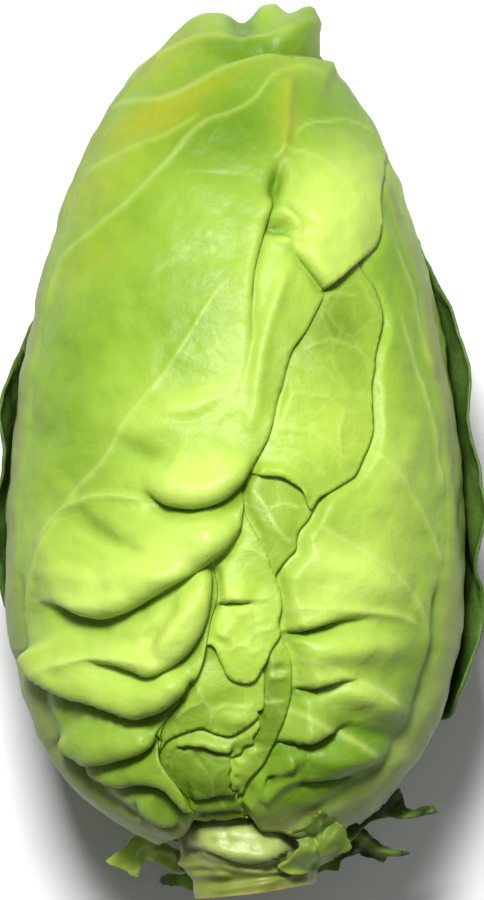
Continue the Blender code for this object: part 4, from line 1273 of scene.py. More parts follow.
@dataclass
class InnerLeaves:
    """The leaves glimpsed between the two outer ones, from the upper centre down to the throat."""

    middle_level: float = -0.0010
    tongue_level: float = -0.0016
    under_level: float = -0.0022
    throat_level: float = -0.0028
    folds_level: float = -0.0030
    strip_level: float = -0.0026
    step: float = 0.00080

    def middle(self) -> Leaf:
        """Describe the leaf in the upper centre."""
        front = [(352, 262), (362, 278), (370, 290), (376, 308), (378, 330), (373, 352), (370, 380),
                 (369, 410), (367, 440), (358, 462), (350, 475), (330, 489), (316, 497), (307, 509),
                 (300, 492), (291, 483), (280, 477), (262, 475), (240, 472)]
        outline = np.vstack([
            HEAD.seen([(300, 150), (330, 200)], -0.0016),
            HEAD.seen(front, -0.0016),
            HEAD.seen([(190, 500), (150, 600), (120, 700)], -0.0016),
            HEAD.turned([(-36, 800), (-60, 815), (-72, 790), (-70, 700), (-56, 560), (-44, 420),
                         (-30, 300), (-8, 200)]),
        ])
        forms: list[Form] = [
            Mound(Line([(325, 390)]), size=(46, 90), height=0.0010),
            Mound(Line([(300, 330)]), size=(12, 40), height=-0.0010, angle=20),
            Ridge(Line([(240, 470), (262, 470), (282, 473), (298, 484), (306, 502)]),
                  heights=(0.0014, 0.0010), widths=(7, 5)),
        ]
        forms += [Vein(Line(line), heights=(0.0003, 0.0002), widths=(1.7, 1.4), paleness=0.42)
                  for line in [
            [(322, 299), (338, 297), (356, 299)], [(300, 352), (326, 344), (350, 350), (366, 362)],
            [(282, 396), (302, 396), (324, 400), (342, 412), (362, 418)],
            [(272, 430), (298, 431), (322, 440), (338, 456), (352, 462)],
            [(258, 452), (284, 451), (308, 462), (328, 481)], [(342, 412), (336, 432), (338, 456)]]]
        # The lightening patch is painted light and the darkening patch is painted shade under the flap.
        return Leaf("leaf_middle", -10.0, outline, self.middle_level, "inner", "inner_leaf", forms=forms,
                    seed=7, step=self.step,
                    patches=[Patch("bright", (330, 430), (60, 60), 0.6), Patch("deep", (335, 320), (40, 50), 0.5)])

    def tongue(self) -> Leaf:
        """Describe the leaf with the hanging torn tongue."""
        outline = np.vstack([
            HEAD.seen([(215, 470), (236, 480), (244, 511), (262, 542), (271, 563), (277, 581),
                       (278, 600), (276, 618), (278, 629), (270, 643), (262, 660), (254, 672),
                       (240, 675), (227, 669), (221, 654), (215, 641), (206, 640), (190, 660),
                       (165, 720), (162, 780)], -0.0032),
            HEAD.turned([(-22, 812), (-36, 812), (-38, 720), (-33, 600), (-20, 500)]),
        ])
        forms: list[Form] = [
            Lip(Line([(210, 606), (219, 600), (230, 597), (244, 598), (258, 600)]),
                height=0.0024, reach=16, groove=0.0018, overhang=3.0, ends=(0.1, 0.4)),
            Ridge(Line([(219, 634), (228, 622), (240, 608), (250, 600)]),
                  heights=(0.0014, 0.0008), widths=(8, 7), draws_in=0.0),
            Mound(Line([(246, 655)]), size=(18, 14), height=0.0008),
            Mound(Line([(236, 560)]), size=(16, 22), height=0.0006),
        ]
        forms += [Vein(Line(line), heights=(0.0003, 0.0003), widths=(1.9, 1.5), paleness=0.7)
                  for line in [
            [(213, 568), (228, 552), (246, 540)], [(240, 545), (256, 548), (270, 558)],
            [(212, 596), (232, 592), (252, 594), (272, 592)], [(250, 598), (249, 610), (251, 624)],
            [(228, 648), (236, 640), (247, 638), (255, 627), (276, 622)], [(247, 638), (253, 646), (262, 640)],
            [(236, 640), (232, 632), (224, 628)], [(258, 627), (262, 640), (268, 643)]]]
        # The lightening patch is painted light on the tongue's lower part.
        return Leaf("leaf_tongue", -20.0, outline, self.tongue_level, "inner", "inner_leaf", forms=forms,
                    seed=9, step=self.step, patches=[Patch("bright", (240, 610), (40, 50), 0.7)])

    def under_middle(self) -> Leaf:
        """Describe the leaf tip just under the one in the upper centre."""
        outline = HEAD.seen([(215, 420), (290, 425), (330, 450), (322, 480), (309, 512), (298, 525),
                             (294, 535), (293, 548), (285, 556), (275, 568), (270, 590), (255, 620),
                             (225, 640), (200, 600), (190, 500)], -0.0034)
        forms: list[Form] = [
            Mound(Line([(268, 515)]), size=(22, 26), height=0.0008, angle=30),
            Vein(Line([(250, 486), (266, 508), (276, 532)]), heights=(0.0003, 0.0002), widths=(2, 1.5)),
            Vein(Line([(266, 508), (284, 502), (300, 508)]), heights=(0.0003, 0.0002), widths=(2, 1.5)),
            Vein(Line([(270, 520), (282, 534), (290, 540)]), heights=(0.0002, 0.0002), widths=(1.8, 1.4)),
        ]
        return Leaf("leaf_under_middle", 0.0, outline, self.under_level, "inner", "inner_leaf",
                    forms=forms, seed=11, step=self.step)

    def strip(self) -> Leaf:
        """Describe the narrow leaf edge at the right of the throat."""
        outline = np.vstack([
            HEAD.seen([(240, 540), (268, 545), (276, 600), (280, 632), (286, 648), (288, 668),
                       (287, 689), (281, 710), (274, 729), (260, 753), (247, 768), (243, 778),
                       (236, 788), (224, 792), (220, 760), (224, 700), (228, 600)], -0.0048),
        ])
        forms: list[Form] = [
            Ridge(Line([(250, 694), (258, 680), (271, 672), (288, 669)]),
                  heights=(0.0010, 0.0008), widths=(3, 3)),
            Ridge(Line([(254, 676), (268, 665), (286, 660)]), heights=(-0.0008, -0.0006), widths=(4, 4)),
            Vein(Line([(250, 693), (265, 695), (285, 694)]), heights=(0.0003, 0.0002), widths=(2, 1.6)),
            Vein(Line([(264, 640), (272, 655), (270, 672)]), heights=(0.0003, 0.0002), widths=(2, 1.6)),
        ]
        # The darkening patch is painted shade where the strip lies low in the throat.
        return Leaf("leaf_strip", 0.0, outline, self.strip_level, "inner", "inner_leaf", forms=forms,
                    seed=13, step=self.step, patches=[Patch("deep", (262, 700), (30, 50), 0.8)])

    def throat(self) -> Leaf:
        """Describe the leaf that fills the throat."""
        outline = np.vstack([
            HEAD.seen([(190, 600), (240, 590), (256, 610), (262, 660), (262, 690), (261, 701),
                       (256, 703), (258, 708), (251, 713), (240, 722), (230, 726), (219, 724),
                       (203, 719), (184, 725), (166, 736)], -0.0044),
            HEAD.turned([(-34, 780), (-50, 790), (-56, 720), (-46, 640)]),
        ])
        forms: list[Form] = [
            Mound(Line([(196, 690)]), size=(16, 22), height=0.0010, angle=30),
            Mound(Line([(236, 712)]), size=(16, 8), height=0.0012),
            Mound(Line([(212, 652)]), size=(10, 12), height=-0.0010),
        ]
        forms += [Vein(Line(line), heights=(0.0003, 0.0002), widths=(1.9, 1.5), paleness=0.7)
                  for line in [
            [(196, 672), (206, 694), (213, 704), (210, 719)], [(213, 704), (228, 698), (246, 700), (256, 696)],
            [(206, 694), (190, 700), (176, 712)]]]
        return Leaf("leaf_throat", -20.0, outline, self.throat_level, "inner", "inner_leaf",
                    forms=forms, seed=17, step=self.step)

    def folds(self) -> Leaf:
        """Describe the lowest folded leaf, with its torn edge."""
        outline = np.vstack([
            HEAD.seen([(196, 692), (240, 690), (258, 708), (255, 722), (250, 729), (253, 733),
                       (243, 736), (241, 743), (230, 746), (233, 753), (229, 760), (233, 764),
                       (230, 770), (235, 778), (238, 789), (242, 798), (246, 810)], -0.0050),
            HEAD.turned([(6, 820), (-22, 825), (-42, 826), (-50, 790), (-42, 742)]),
        ])
        forms: list[Form] = [
            Lip(Line([(178, 741), (188, 738), (204, 739), (216, 743), (234, 745)]),
                height=0.0026, reach=13, groove=0.0020, overhang=2.6, ends=(0.12, 0.1)),
            Lip(Line([(190, 792), (206, 789), (222, 785), (238, 786)]),
                height=0.0018, reach=20, groove=0.0018, overhang=2.4, ends=(0.2, 0.1)),
            Mound(Line([(216, 798)]), size=(22, 5), height=0.0010, angle=-6),
            Ridge(Line([(198, 808), (214, 804), (230, 804), (244, 807)]),
                  heights=(-0.0012, -0.0010), widths=(2.6, 2.4)),
            Ridge(Line([(192, 816), (206, 818), (218, 814)]), heights=(-0.0014, -0.0010), widths=(2.6, 2.2)),
            Ridge(Line([(224, 820), (238, 815), (252, 817)]), heights=(-0.0014, -0.0012), widths=(2.4, 2.6)),
            Mound(Line([(216, 822)]), size=(16, 5), height=0.0012, angle=-8),
            Mound(Line([(212, 765)]), size=(20, 14), height=0.0008),
            Ridge(Line([(196, 746), (198, 752), (206, 756)]), heights=(-0.0006, -0.0003), widths=(2, 2)),
        ]
        # The darkening patch is painted shade in the recess of the throat; the pale patch is the leaf's own pale
        # base.
        return Leaf("leaf_throat_folds", -20.0, outline, self.folds_level, "inner", "inner_leaf",
                    forms=forms, seed=19, step=self.step, smooth_edge=False,
                    patches=[Patch("deep", (214, 780), (46, 44), 0.9), Patch("pale", (214, 824), (40, 8), 0.9)])


@dataclass
class Wrappers:
    """The two dark outer leaves behind the head."""

    left_middle: float = -145.0
    right_middle: float = 145.0
    level: float = 0.0018
    step: float = 0.0014
    thickness: float = 0.0008

    def veined(self, midrib: Line, rows: list[float]) -> list[Form]:
        """Give a wrapper's thick midrib and its side veins on both sides."""
        forms: list[Form] = [Petiole(midrib, heights=(0.0026, 0.0004), widths=(40, 6), side=Side.AROUND,
                                     draws_in=0.0)]
        forms += side_veins(midrib, -1.0, rows, 210.0, 150.0)
        forms += side_veins(midrib, 1.0, rows, 210.0, 150.0)
        return forms

    def waves(self, line: Line, height: float, width: float) -> list[Form]:
        """Give the wavy lift of a free margin as a row of small mounds."""
        points = line.points[::3]
        return [Mound(Line([tuple(point)]), size=(width, width * 1.5),
                      height=height * (0.7 + 0.5 * math.sin(1.9 * k)), side=Side.AROUND)
                for k, point in enumerate(points)]

    def left(self) -> Leaf:
        """Describe the left wrapper."""
        outline = HEAD.turned([
            (-96, 345), (-90, 372), (-86, 405), (-84, 440), (-84, 475), (-87, 510), (-91, 550),
            (-96, 600), (-104, 660), (-112, 720), (-122, 780), (-134, 822), (-150, 832), (-166, 830),
            (-176, 800), (-184, 740), (-194, 660), (-201, 560), (-203, 450), (-198, 350),
            (-186, 270), (-168, 215), (-150, 196), (-134, 210), (-120, 250), (-106, 300)])
        midrib = around(self.left_middle, [(-148, 832), (-146, 640), (-142, 430), (-140, 240)])
        margin = around(self.left_middle, [(-91, 366), (-85, 420), (-85, 475), (-89, 530), (-96, 590)])
        forms = self.veined(midrib, [700, 600, 510, 430, 350]) + self.waves(margin, 0.0022, 26)
        return Leaf("wrapper_left", self.left_middle, outline, self.level, "wrapper", "wrapper_leaf",
                    forms=forms, seed=23, step=self.step, thickness=self.thickness, unevenness=0.0005)

    def right(self) -> Leaf:
        """Describe the right wrapper."""
        outline = HEAD.turned([
            (96, 268), (90, 300), (86, 345), (84, 400), (82, 450), (80, 500), (79, 530), (81, 560),
            (86, 590), (88, 620), (86, 650), (85, 685), (90, 712), (100, 724), (112, 750), (124, 790),
            (138, 822), (152, 832), (170, 832), (182, 800), (192, 740), (202, 660), (208, 560),
            (210, 450), (206, 350), (196, 260), (180, 190), (160, 160), (140, 158), (122, 180),
            (108, 222)])
        midrib = around(self.right_middle, [(156, 832), (150, 640), (146, 430), (144, 220)])
        margin = around(self.right_middle, [(89, 320), (85, 390), (82, 450), (80, 500), (79, 535),
                                            (85, 585), (87, 625), (86, 680), (94, 712)])
        forms = self.veined(midrib, [700, 600, 510, 430, 340]) + self.waves(margin, 0.0034, 24)
        return Leaf("wrapper_right", self.right_middle, outline, self.level, "wrapper", "wrapper_leaf",
                    forms=forms, seed=29, step=self.step, thickness=self.thickness, unevenness=0.0005)


@dataclass
class Stump:
    """The cut stump with the scar of a removed leaf base, and the core inside the head."""

    middle_x: float = 0.0034
    face_y: float = -0.1250
    radius: float = 0.0172
    collar: float = 0.0182
    ridge: float = 0.03
    gap: float = 0.0006
    segments: int = 144
    scar_angle: float = math.radians(84)
    scar_spread: float = math.radians(44)
    scar_y: float = -0.1073
    scar_length: float = 0.0070
    scar_rise: float = 0.0066
    cut_slope: float = 0.13

    def profile(self, gap: float = 0.0) -> Points:
        """Give the radius and the place along Y from the core's top to the cut face."""
        return [(0.0, -0.040 + gap), (0.0036 + gap, -0.0406 + gap), (0.006 + gap, -0.044),
                (0.0095 + gap, -0.066), (0.0125 + gap, -0.086), (0.0150 + gap, -0.1000),
                (0.0166 + gap, -0.1045), (0.0172 + gap, -0.1090), (self.collar + gap, -0.1135),
                (self.collar + gap, -0.1165), (self.radius + gap, -0.1205),
                (self.radius - 0.0002 + gap, -0.1242 - gap), (self.radius - 0.0012 + gap, self.face_y - gap),
                (self.radius * 0.6, self.face_y - gap + 0.0003), (0.0, self.face_y - gap)]

    def axis(self, y: np.ndarray) -> tuple[np.ndarray, np.ndarray]:
        """Give the middle of the stem at places along Y."""
        share = smooth_step(-y, 0.104, 0.122)
        x = HEAD.axis_x + (self.middle_x - HEAD.axis_x) * share
        return x, HEAD.axis_z - HEAD.axis_tilt * y

    def forms(self) -> list[Form]:
        """Give the relief of the upper side, drawn as seen from above."""
        forms: list[Form] = [
            Lip(Line([(180, 852), (200, 843), (219, 848), (246, 857), (274, 852), (294, 843)]),
                height=0.0016, reach=14, groove=0.0012, overhang=2.4, ends=(0.1, 0.1)),
            Mound(Line([(238, 828)]), size=(44, 8), height=0.0007, angle=2),
            Mound(Line([(214, 833)]), size=(3, 3), height=-0.0005),
            Mound(Line([(233, 834)]), size=(3, 3), height=-0.0005),
            Mound(Line([(254, 842)]), size=(3, 3), height=-0.0005),
            Mound(Line([(270, 832)]), size=(3, 3), height=-0.0005),
            Mound(Line([(285, 831)]), size=(3, 3), height=-0.0005),
        ]
        for line, height, width in (
                ([(176, 856), (190, 862), (204, 860), (222, 864)], 0.0016, 3.6),
                ([(184, 866), (198, 871), (216, 870), (236, 873)], 0.0012, 3.2),
                ([(214, 858), (240, 866), (268, 871), (300, 866), (318, 860)], 0.0012, 4.0),
                ([(196, 878), (222, 881), (256, 880), (290, 875), (316, 868)], -0.0010, 3.4),
                ([(206, 890), (236, 886), (270, 884), (306, 877)], 0.0008, 3.4),
                ([(236, 812), (226, 822), (228, 840)], -0.0010, 3.4),
                ([(258, 812), (262, 824), (270, 842)], -0.0005, 3.0)):
            forms.append(Ridge(Line(line), heights=(height, height), widths=(width, width), ends=0.2))
        return forms

    def build(self) -> bpy.types.Object:
        """Turn the profile about the stem's axis and shape its upper side.

        Returns:
            The piece.
        """
        outline = rounded(np.array(self.profile()), False, 5)
        outline[:, 0] = np.maximum(outline[:, 0], 0.0)
        body = bmesh.new()
        corners = [body.verts.new((radius, y, 0.0)) for radius, y in outline]
        edges = [body.edges.new(pair) for pair in zip(corners[:-1], corners[1:])]
        bmesh.ops.spin(body, geom=corners + edges, cent=(0, 0, 0), axis=(0, 1, 0),
                       steps=self.segments, angle=2 * math.pi, use_merge=True)
        bmesh.ops.remove_doubles(body, verts=body.verts, dist=0.00004)
        points = self.placed(np.array([vert.co[:] for vert in body.verts]))
        for vert, point in zip(body.verts, points):
            vert.co = point
        bmesh.ops.recalc_face_normals(body, faces=body.faces)
        piece = solid_piece("stem", body)
        self.paint(piece.data, points)
        return piece

    def placed(self, turned: np.ndarray) -> np.ndarray:
        """Move turned points to the stem's axis, with ridges, scar and fine relief.

        Args:
            turned: Points of the turned body about the Y axis.

        Returns:
            Points in space.
        """
        angle = np.arctan2(turned[:, 2], turned[:, 0])
        y = turned[:, 1]
        radius = np.hypot(turned[:, 0], turned[:, 2])
        lower = smooth_step(-y, 0.098, 0.112)
        scale = 1.0 + self.ridge * lower * (np.sin(5 * angle + 0.6) + 0.5 * np.sin(9 * angle + 2.0))
        scar = self.scar_rise * np.exp(-((angle - self.scar_angle) / self.scar_spread) ** 4
                                       - ((y - self.scar_y) / self.scar_length) ** 4)
        x, z = self.axis(y)
        unit = np.stack([np.cos(angle), np.zeros(len(y)), np.sin(angle)], axis=-1)
        out = radius * scale + np.where(radius > 0.001, scar, 0.0)
        points = np.stack([x, y, z], axis=-1) + unit * out[:, None]
        upper = smooth_step(unit[:, 2], 0.05, 0.4) * smooth_step(radius, 0.010, 0.014)
        drawing = HEAD.drawn(points)
        for form in self.forms():
            lift, slide = form.shape(drawing)
            points += unit * (lift * upper)[:, None]
            points[:, 0] += slide[:, 0] * upper * UNIT
            points[:, 1] -= slide[:, 1] * upper * UNIT
        rough = ripple(points, 41, 0.0070) * smooth_step(radius, 0.0, 0.01)
        points += unit * (0.00035 * rough * lower)[:, None]
        slant = np.clip(points[:, 0] - self.middle_x + self.radius, 0.0, 2.0 * self.radius)
        points[:, 1] += self.cut_slope * slant * smooth_step(-y, 0.112, 0.124)
        return points

    def paint(self, mesh: bpy.types.Mesh, points: np.ndarray) -> None:
        """Mark the pale scar and its dots on the upper side, the cut face and its pale pith."""
        drawing = HEAD.drawn(points)
        x, z = self.axis(points[:, 1])
        radius = np.hypot(points[:, 0] - x, points[:, 2] - z)
        upper = smooth_step(points[:, 2] - z, 0.002, 0.008)
        scar = Mound(Line([(238, 830)]), size=(62, 20), height=1.0, angle=2).shape(drawing)[0]
        dots = np.zeros(len(points))
        for place in ((214, 833), (233, 834), (254, 842), (270, 832), (285, 831)):
            dots += Mound(Line([place]), size=(3.4, 2.8), height=1.0).shape(drawing)[0]
        set_mask(mesh, "scar", np.minimum(1.6 * scar, 1.0) * upper)
        set_mask(mesh, "dots", dots * upper)
        slant = np.clip(points[:, 0] - self.middle_x + self.radius, 0.0, 2.0 * self.radius)
        cut = self.face_y + self.cut_slope * slant
        set_mask(mesh, "face", 1.0 - smooth_step(points[:, 1], cut + 0.0002, cut + 0.0012))
        set_mask(mesh, "pith", 1.0 - smooth_step(radius, 0.0075, 0.0105))
        lay = np.stack([np.arctan2(points[:, 2] - z, points[:, 0] - x) * 0.017, points[:, 1], radius], axis=-1)
        set_lay(mesh, lay)


@dataclass
class Heart:
    """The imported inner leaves, one dense body with a pocket for the core."""

    stack: Stack
    stump: Stump
    level: float = -0.0030
    gap: float = 0.0024
    start: float = 0.026
    end: float = HEAD.end - 0.013
    mouth: float = 0.30
    columns: int = 96
    rows: int = 110
    floor: float = 0.0112

    def build(self) -> bpy.types.Object:
        """Shape a ball into the heart: its lowest rings line the pocket, the others the outside.

        Returns:
            The piece.
        """
        body = bmesh.new()
        bmesh.ops.create_uvsphere(body, u_segments=self.columns, v_segments=self.rows, radius=1.0)
        ball = np.array([vert.co[:] for vert in body.verts])
        ring = np.arccos(np.clip(-ball[:, 2], -1.0, 1.0)) / math.pi
        turn = np.arctan2(ball[:, 0], ball[:, 1])
        outside = ring >= self.mouth
        points = np.where(outside[:, None], self.outside(turn, ring), self.pocket(turn, ring))
        for vert, point in zip(body.verts, points):
            vert.co = point
        bmesh.ops.recalc_face_normals(body, faces=body.faces)
        piece = solid_piece("heart", body)
        share = (ring - self.mouth) / (1.0 - self.mouth)
        along = self.start + (self.end - self.start) * share
        set_lay(piece.data, np.stack([turn * HEAD.flat_width(along), along, np.zeros(len(turn))], axis=-1))
        return piece

    def outside(self, turn: np.ndarray, ring: np.ndarray) -> np.ndarray:
        """Place the heart's outer rings close under the innermost leaves."""
        share = np.clip((ring - self.mouth) / (1.0 - self.mouth), 0.0, 1.0)
        along = self.start + (self.end - self.start) * share
        ceiling = self.stack.ceiling(len(self.stack.leaves), turn, along)
        height = np.minimum(ceiling, self.level) - self.gap
        height += 0.0004 * (np.sin(5 * turn + 60 * along) + np.sin(3 * turn - 95 * along + 1.0)) - 0.0008
        points = HEAD.raised(turn, along, height)
        x, z = self.stump.axis(points[:, 1])
        middle = np.stack([x, points[:, 1], z], axis=-1)
        arm = points - middle
        length = np.maximum(np.linalg.norm(arm, axis=1), SMALL)
        pull = np.sqrt(smooth_step(np.minimum(share, 1.0 - share), 0.0, 0.12))
        least = np.where(share < 0.5, self.mouth_radius(), 0.0)
        length_now = np.maximum(length * pull, least)
        points = middle + arm * (length_now / length)[:, None]
        points[:, 2] = np.maximum(points[:, 2], self.floor)
        return points

    def mouth_radius(self) -> float:
        """Give the radius of the pocket's mouth."""
        return 0.0166 + self.stump.gap

    def pocket(self, turn: np.ndarray, ring: np.ndarray) -> np.ndarray:
        """Place the heart's inner rings round the core."""
        profile = np.array([corner for corner in self.stump.profile(self.stump.gap) if corner[1] > -0.1046])
        run = np.concatenate(([0.0], np.cumsum(np.linalg.norm(np.diff(profile, axis=0), axis=1))))
        place = np.clip(ring / self.mouth, 0.0, 1.0) * run[-1]
        radius = np.interp(place, run, profile[:, 0])
        y = np.interp(place, run, profile[:, 1])
        x, z = self.stump.axis(y)
        return np.stack([x + radius * np.sin(turn), y, z + radius * np.cos(turn)], axis=-1)


@dataclass
class TornBase:
    """One torn leaf base: a drawn outline that starts at the stump and rises away from its root."""

    name: str
    corners: Points
    root: tuple[float, float]
    height: float
    slope: float
    wave: float
    over: bool
    forms: list[Form] = field(default_factory=list)
    seed: int = 1
    # Share of painted shade on the piece away from its root; the rest of the share is painted light.
    dark: float = 0.5


@dataclass
class TornBases:
    """The five torn leaf bases round the stump."""

    stump: Stump
    cell: float = 1.6
    thickness: float = 0.0008
    gap: float = 0.0003
    clearance: float = 0.0030

    def bases(self) -> list[TornBase]:
        """Describe the torn bases."""
        return [
            TornBase("stub_left", [(135, 836), (122, 848), (105, 861), (110, 867), (123, 871),
                                   (137, 879), (140, 867), (149, 861), (159, 863), (168, 868),
                                   (182, 872), (188, 866), (184, 854), (172, 846), (157, 838)],
                     (188, 862), 0.0600, -0.00012, 0.0012, False, seed=51, dark=0.0,
                     forms=[Ridge(Line([(184, 856), (164, 850), (148, 848), (134, 855)]),
                                  heights=(0.0020, 0.0012), widths=(5, 4)),
                            Mound(Line([(146, 862)]), size=(8, 5), height=-0.0024, angle=-20),
                            Ridge(Line([(140, 852), (136, 864), (134, 876)]),
                                  heights=(0.0010, 0.0010), widths=(3, 3))]),
            TornBase("stub_low", [(158, 880), (160, 886), (170, 888), (182, 888), (192, 892),
                                  (196, 882), (190, 874), (178, 876), (168, 874)],
                     (194, 884), 0.0540, -0.00020, 0.0006, False, seed=52, dark=0.9),
            TornBase("stub_front", [(320, 803), (310, 813), (290, 826), (297, 837), (288, 854),
                                    (276, 862), (290, 868), (306, 868), (322, 861), (338, 851),
                                    (349, 841), (343, 822), (332, 812)],
                     (300, 868), 0.0740, 0.00022, 0.0010, True, seed=53, dark=0.5,
                     forms=[Mound(Line([(318, 838)]), size=(20, 18), height=0.0050, steep=1.4),
                            Ridge(Line([(302, 864), (312, 848), (318, 830), (320, 810)]),
                                  heights=(0.0010, 0.0008), widths=(3, 2.6)),
                            Ridge(Line([(306, 856), (322, 850), (338, 840)]),
                                  heights=(0.0008, 0.0006), widths=(2.6, 2.4))]),
            TornBase("stub_right_low", [(316, 873), (326, 870), (338, 871), (340, 861), (352, 856),
                                        (370, 858), (385, 863), (389, 857), (402, 857), (410, 853),
                                        (393, 849), (379, 841), (370, 833), (362, 825), (352, 822),
                                        (346, 830), (346, 846), (334, 856), (318, 862)],
                     (316, 866), 0.0560, -0.00002, 0.0010, False, seed=54, dark=1.0,
                     forms=[Ridge(Line([(350, 828), (362, 840), (378, 850), (404, 854)]),
                                  heights=(0.0016, 0.0008), widths=(5, 3)),
                            Mound(Line([(360, 854)]), size=(14, 4), height=-0.0016, angle=8)]),
            TornBase("stub_right", [(322, 852), (336, 847), (352, 836), (364, 823), (384, 817),
                                    (398, 816), (411, 818), (427, 815), (437, 811), (432, 805),
                                    (415, 809), (405, 804), (404, 796), (399, 788), (386, 800),
                                    (372, 812), (352, 828), (322, 844)],
                     (322, 848), 0.0640, -0.00006, 0.0010, True, seed=55, dark=0.9,
                     forms=[Ridge(Line([(324, 848), (352, 838), (384, 822), (424, 811)]),
                                  heights=(0.0012, 0.0006), widths=(3.4, 2.4))]),
        ]

    def raised(self, base: TornBase, places: np.ndarray) -> np.ndarray:
        """Place drawn points of a torn base in space, clear of the stump and the head.

        Args:
            base: The torn base.
            places: Drawing places.

        Returns:
            Points, one a row.
        """
        x = (places[:, 0] - DRAWING_MIDDLE[0]) * UNIT
        y = (DRAWING_MIDDLE[1] - places[:, 1]) * UNIT
        away = np.hypot(places[:, 0] - base.root[0], places[:, 1] - base.root[1])
        wave = base.wave * np.sin(0.19 * places[:, 0] + 0.13 * places[:, 1]) * np.minimum(1.0, away / 30.0)
        height = base.height + base.slope * away + wave
        along = HEAD.along_from_row(places[:, 1])
        sideways = (x - HEAD.axis_x) / np.maximum(HEAD.half(along), self.gap)
        if base.over:
            head = HEAD.surface(np.arcsin(np.clip(sideways, -0.9, 0.9)), along)[:, 2]
            height = np.where(np.abs(sideways) < 0.9, np.maximum(height, head + self.clearance), height)
        middle_x, middle_z = self.stump.axis(y)
        reach = self.stump.collar * (1.0 + self.stump.ridge * 1.5) + self.thickness + 2.0 * self.gap
        if base.over:
            beside = (y - self.stump.scar_y) / self.stump.scar_length
            reach = reach + self.stump.scar_rise * np.exp(-(beside ** 4))
        chord = np.sqrt(np.maximum(reach ** 2 - (x - middle_x) ** 2, 0.0))
        clear = np.maximum(height, middle_z + chord) if base.over else np.minimum(height, middle_z - chord)
        height = np.where(chord > 0.0, clear, height)
        fine = 0.00035 * ripple(np.stack([x, y, np.zeros(len(x))], axis=-1), base.seed, 0.005)
        points = np.stack([x, y, height + fine * np.minimum(1.0, away / 20.0)], axis=-1)
        for form in base.forms:
            lift, slide = form.shape(places)
            points[:, 2] += lift
            points[:, 0] += slide[:, 0] * UNIT
            points[:, 1] -= slide[:, 1] * UNIT
        return points

    def ragged(self, base: TornBase) -> Outline:
        """Give a torn base's outline with fine ragged steps."""
        edge = rounded(np.array(base.corners), True, 6)
        draw = np.random.default_rng(base.seed)
        away = np.hypot(edge[:, 0] - base.root[0], edge[:, 1] - base.root[1])
        torn = smooth_step(away, 12.0, 26.0)[:, None]
        middle = edge.mean(axis=0)
        inwards = (middle - edge) / np.maximum(np.linalg.norm(middle - edge, axis=1), SMALL)[:, None]
        return Outline(edge + inwards * draw.uniform(0.0, 2.2, len(edge))[:, None] * torn)

    def build(self, base: TornBase) -> bpy.types.Object:
        """Build one torn base.

        Args:
            base: The torn base.

        Returns:
            The piece.
        """
        rim = self.ragged(base)
        low, high = rim.corners.min(axis=0) - 2.0, rim.corners.max(axis=0) + 2.0
        columns = np.arange(low[0], high[0], self.cell)
        rows = np.arange(low[1], high[1], self.cell)
        flat = np.stack(np.meshgrid(columns, rows), axis=-1).reshape(-1, 2)
        sheet = cut_sheet((len(columns), len(rows)), flat, np.full(len(flat), self.cell), rim)
        places = np.array([vert.co[:2] for vert in sheet.verts])
        points = self.raised(base, places)
        for vert, point in zip(sheet.verts, points):
            vert.co = point
        sheet.normal_update()
        sheet.faces.ensure_lookup_table()
        if sheet.faces[len(sheet.faces) // 2].normal.z < 0.0:
            bmesh.ops.reverse_faces(sheet, faces=sheet.faces)
        piece = sheet_piece(base.name, sheet, self.thickness)
        away = np.hypot(places[:, 0] - base.root[0], places[:, 1] - base.root[1])
        veins = np.zeros(len(places))
        for form in base.forms:
            if isinstance(form, Ridge):
                veins = np.maximum(veins, form.profile(places)[1])
        set_mask(piece.data, "vein", veins)
        set_mask(piece.data, "rib", 0.3 * (1.0 - smooth_step(away, 4.0, 18.0)))
        # Painted shade away from the root by the base's share, and painted light over the rest by the remaining
        # share.
        set_mask(piece.data, "deep", np.full(len(places), base.dark) * smooth_step(away, 8.0, 40.0))
        set_mask(piece.data, "bright", np.full(len(places), 1.0 - base.dark))
        set_lay(piece.data, np.column_stack([places * UNIT, np.zeros(len(places))]))
        return piece


Colour = tuple[float, float, float]


def tint(red: int, green: int, blue: int) -> Colour:
    """Turn a screen colour into the linear colour that shaders use."""
    parts = [part / 255.0 for part in (red, green, blue)]
    linear = [part / 12.92 if part <= 0.04045 else ((part + 0.055) / 1.055) ** 2.4 for part in parts]
    return linear[0], linear[1], linear[2]


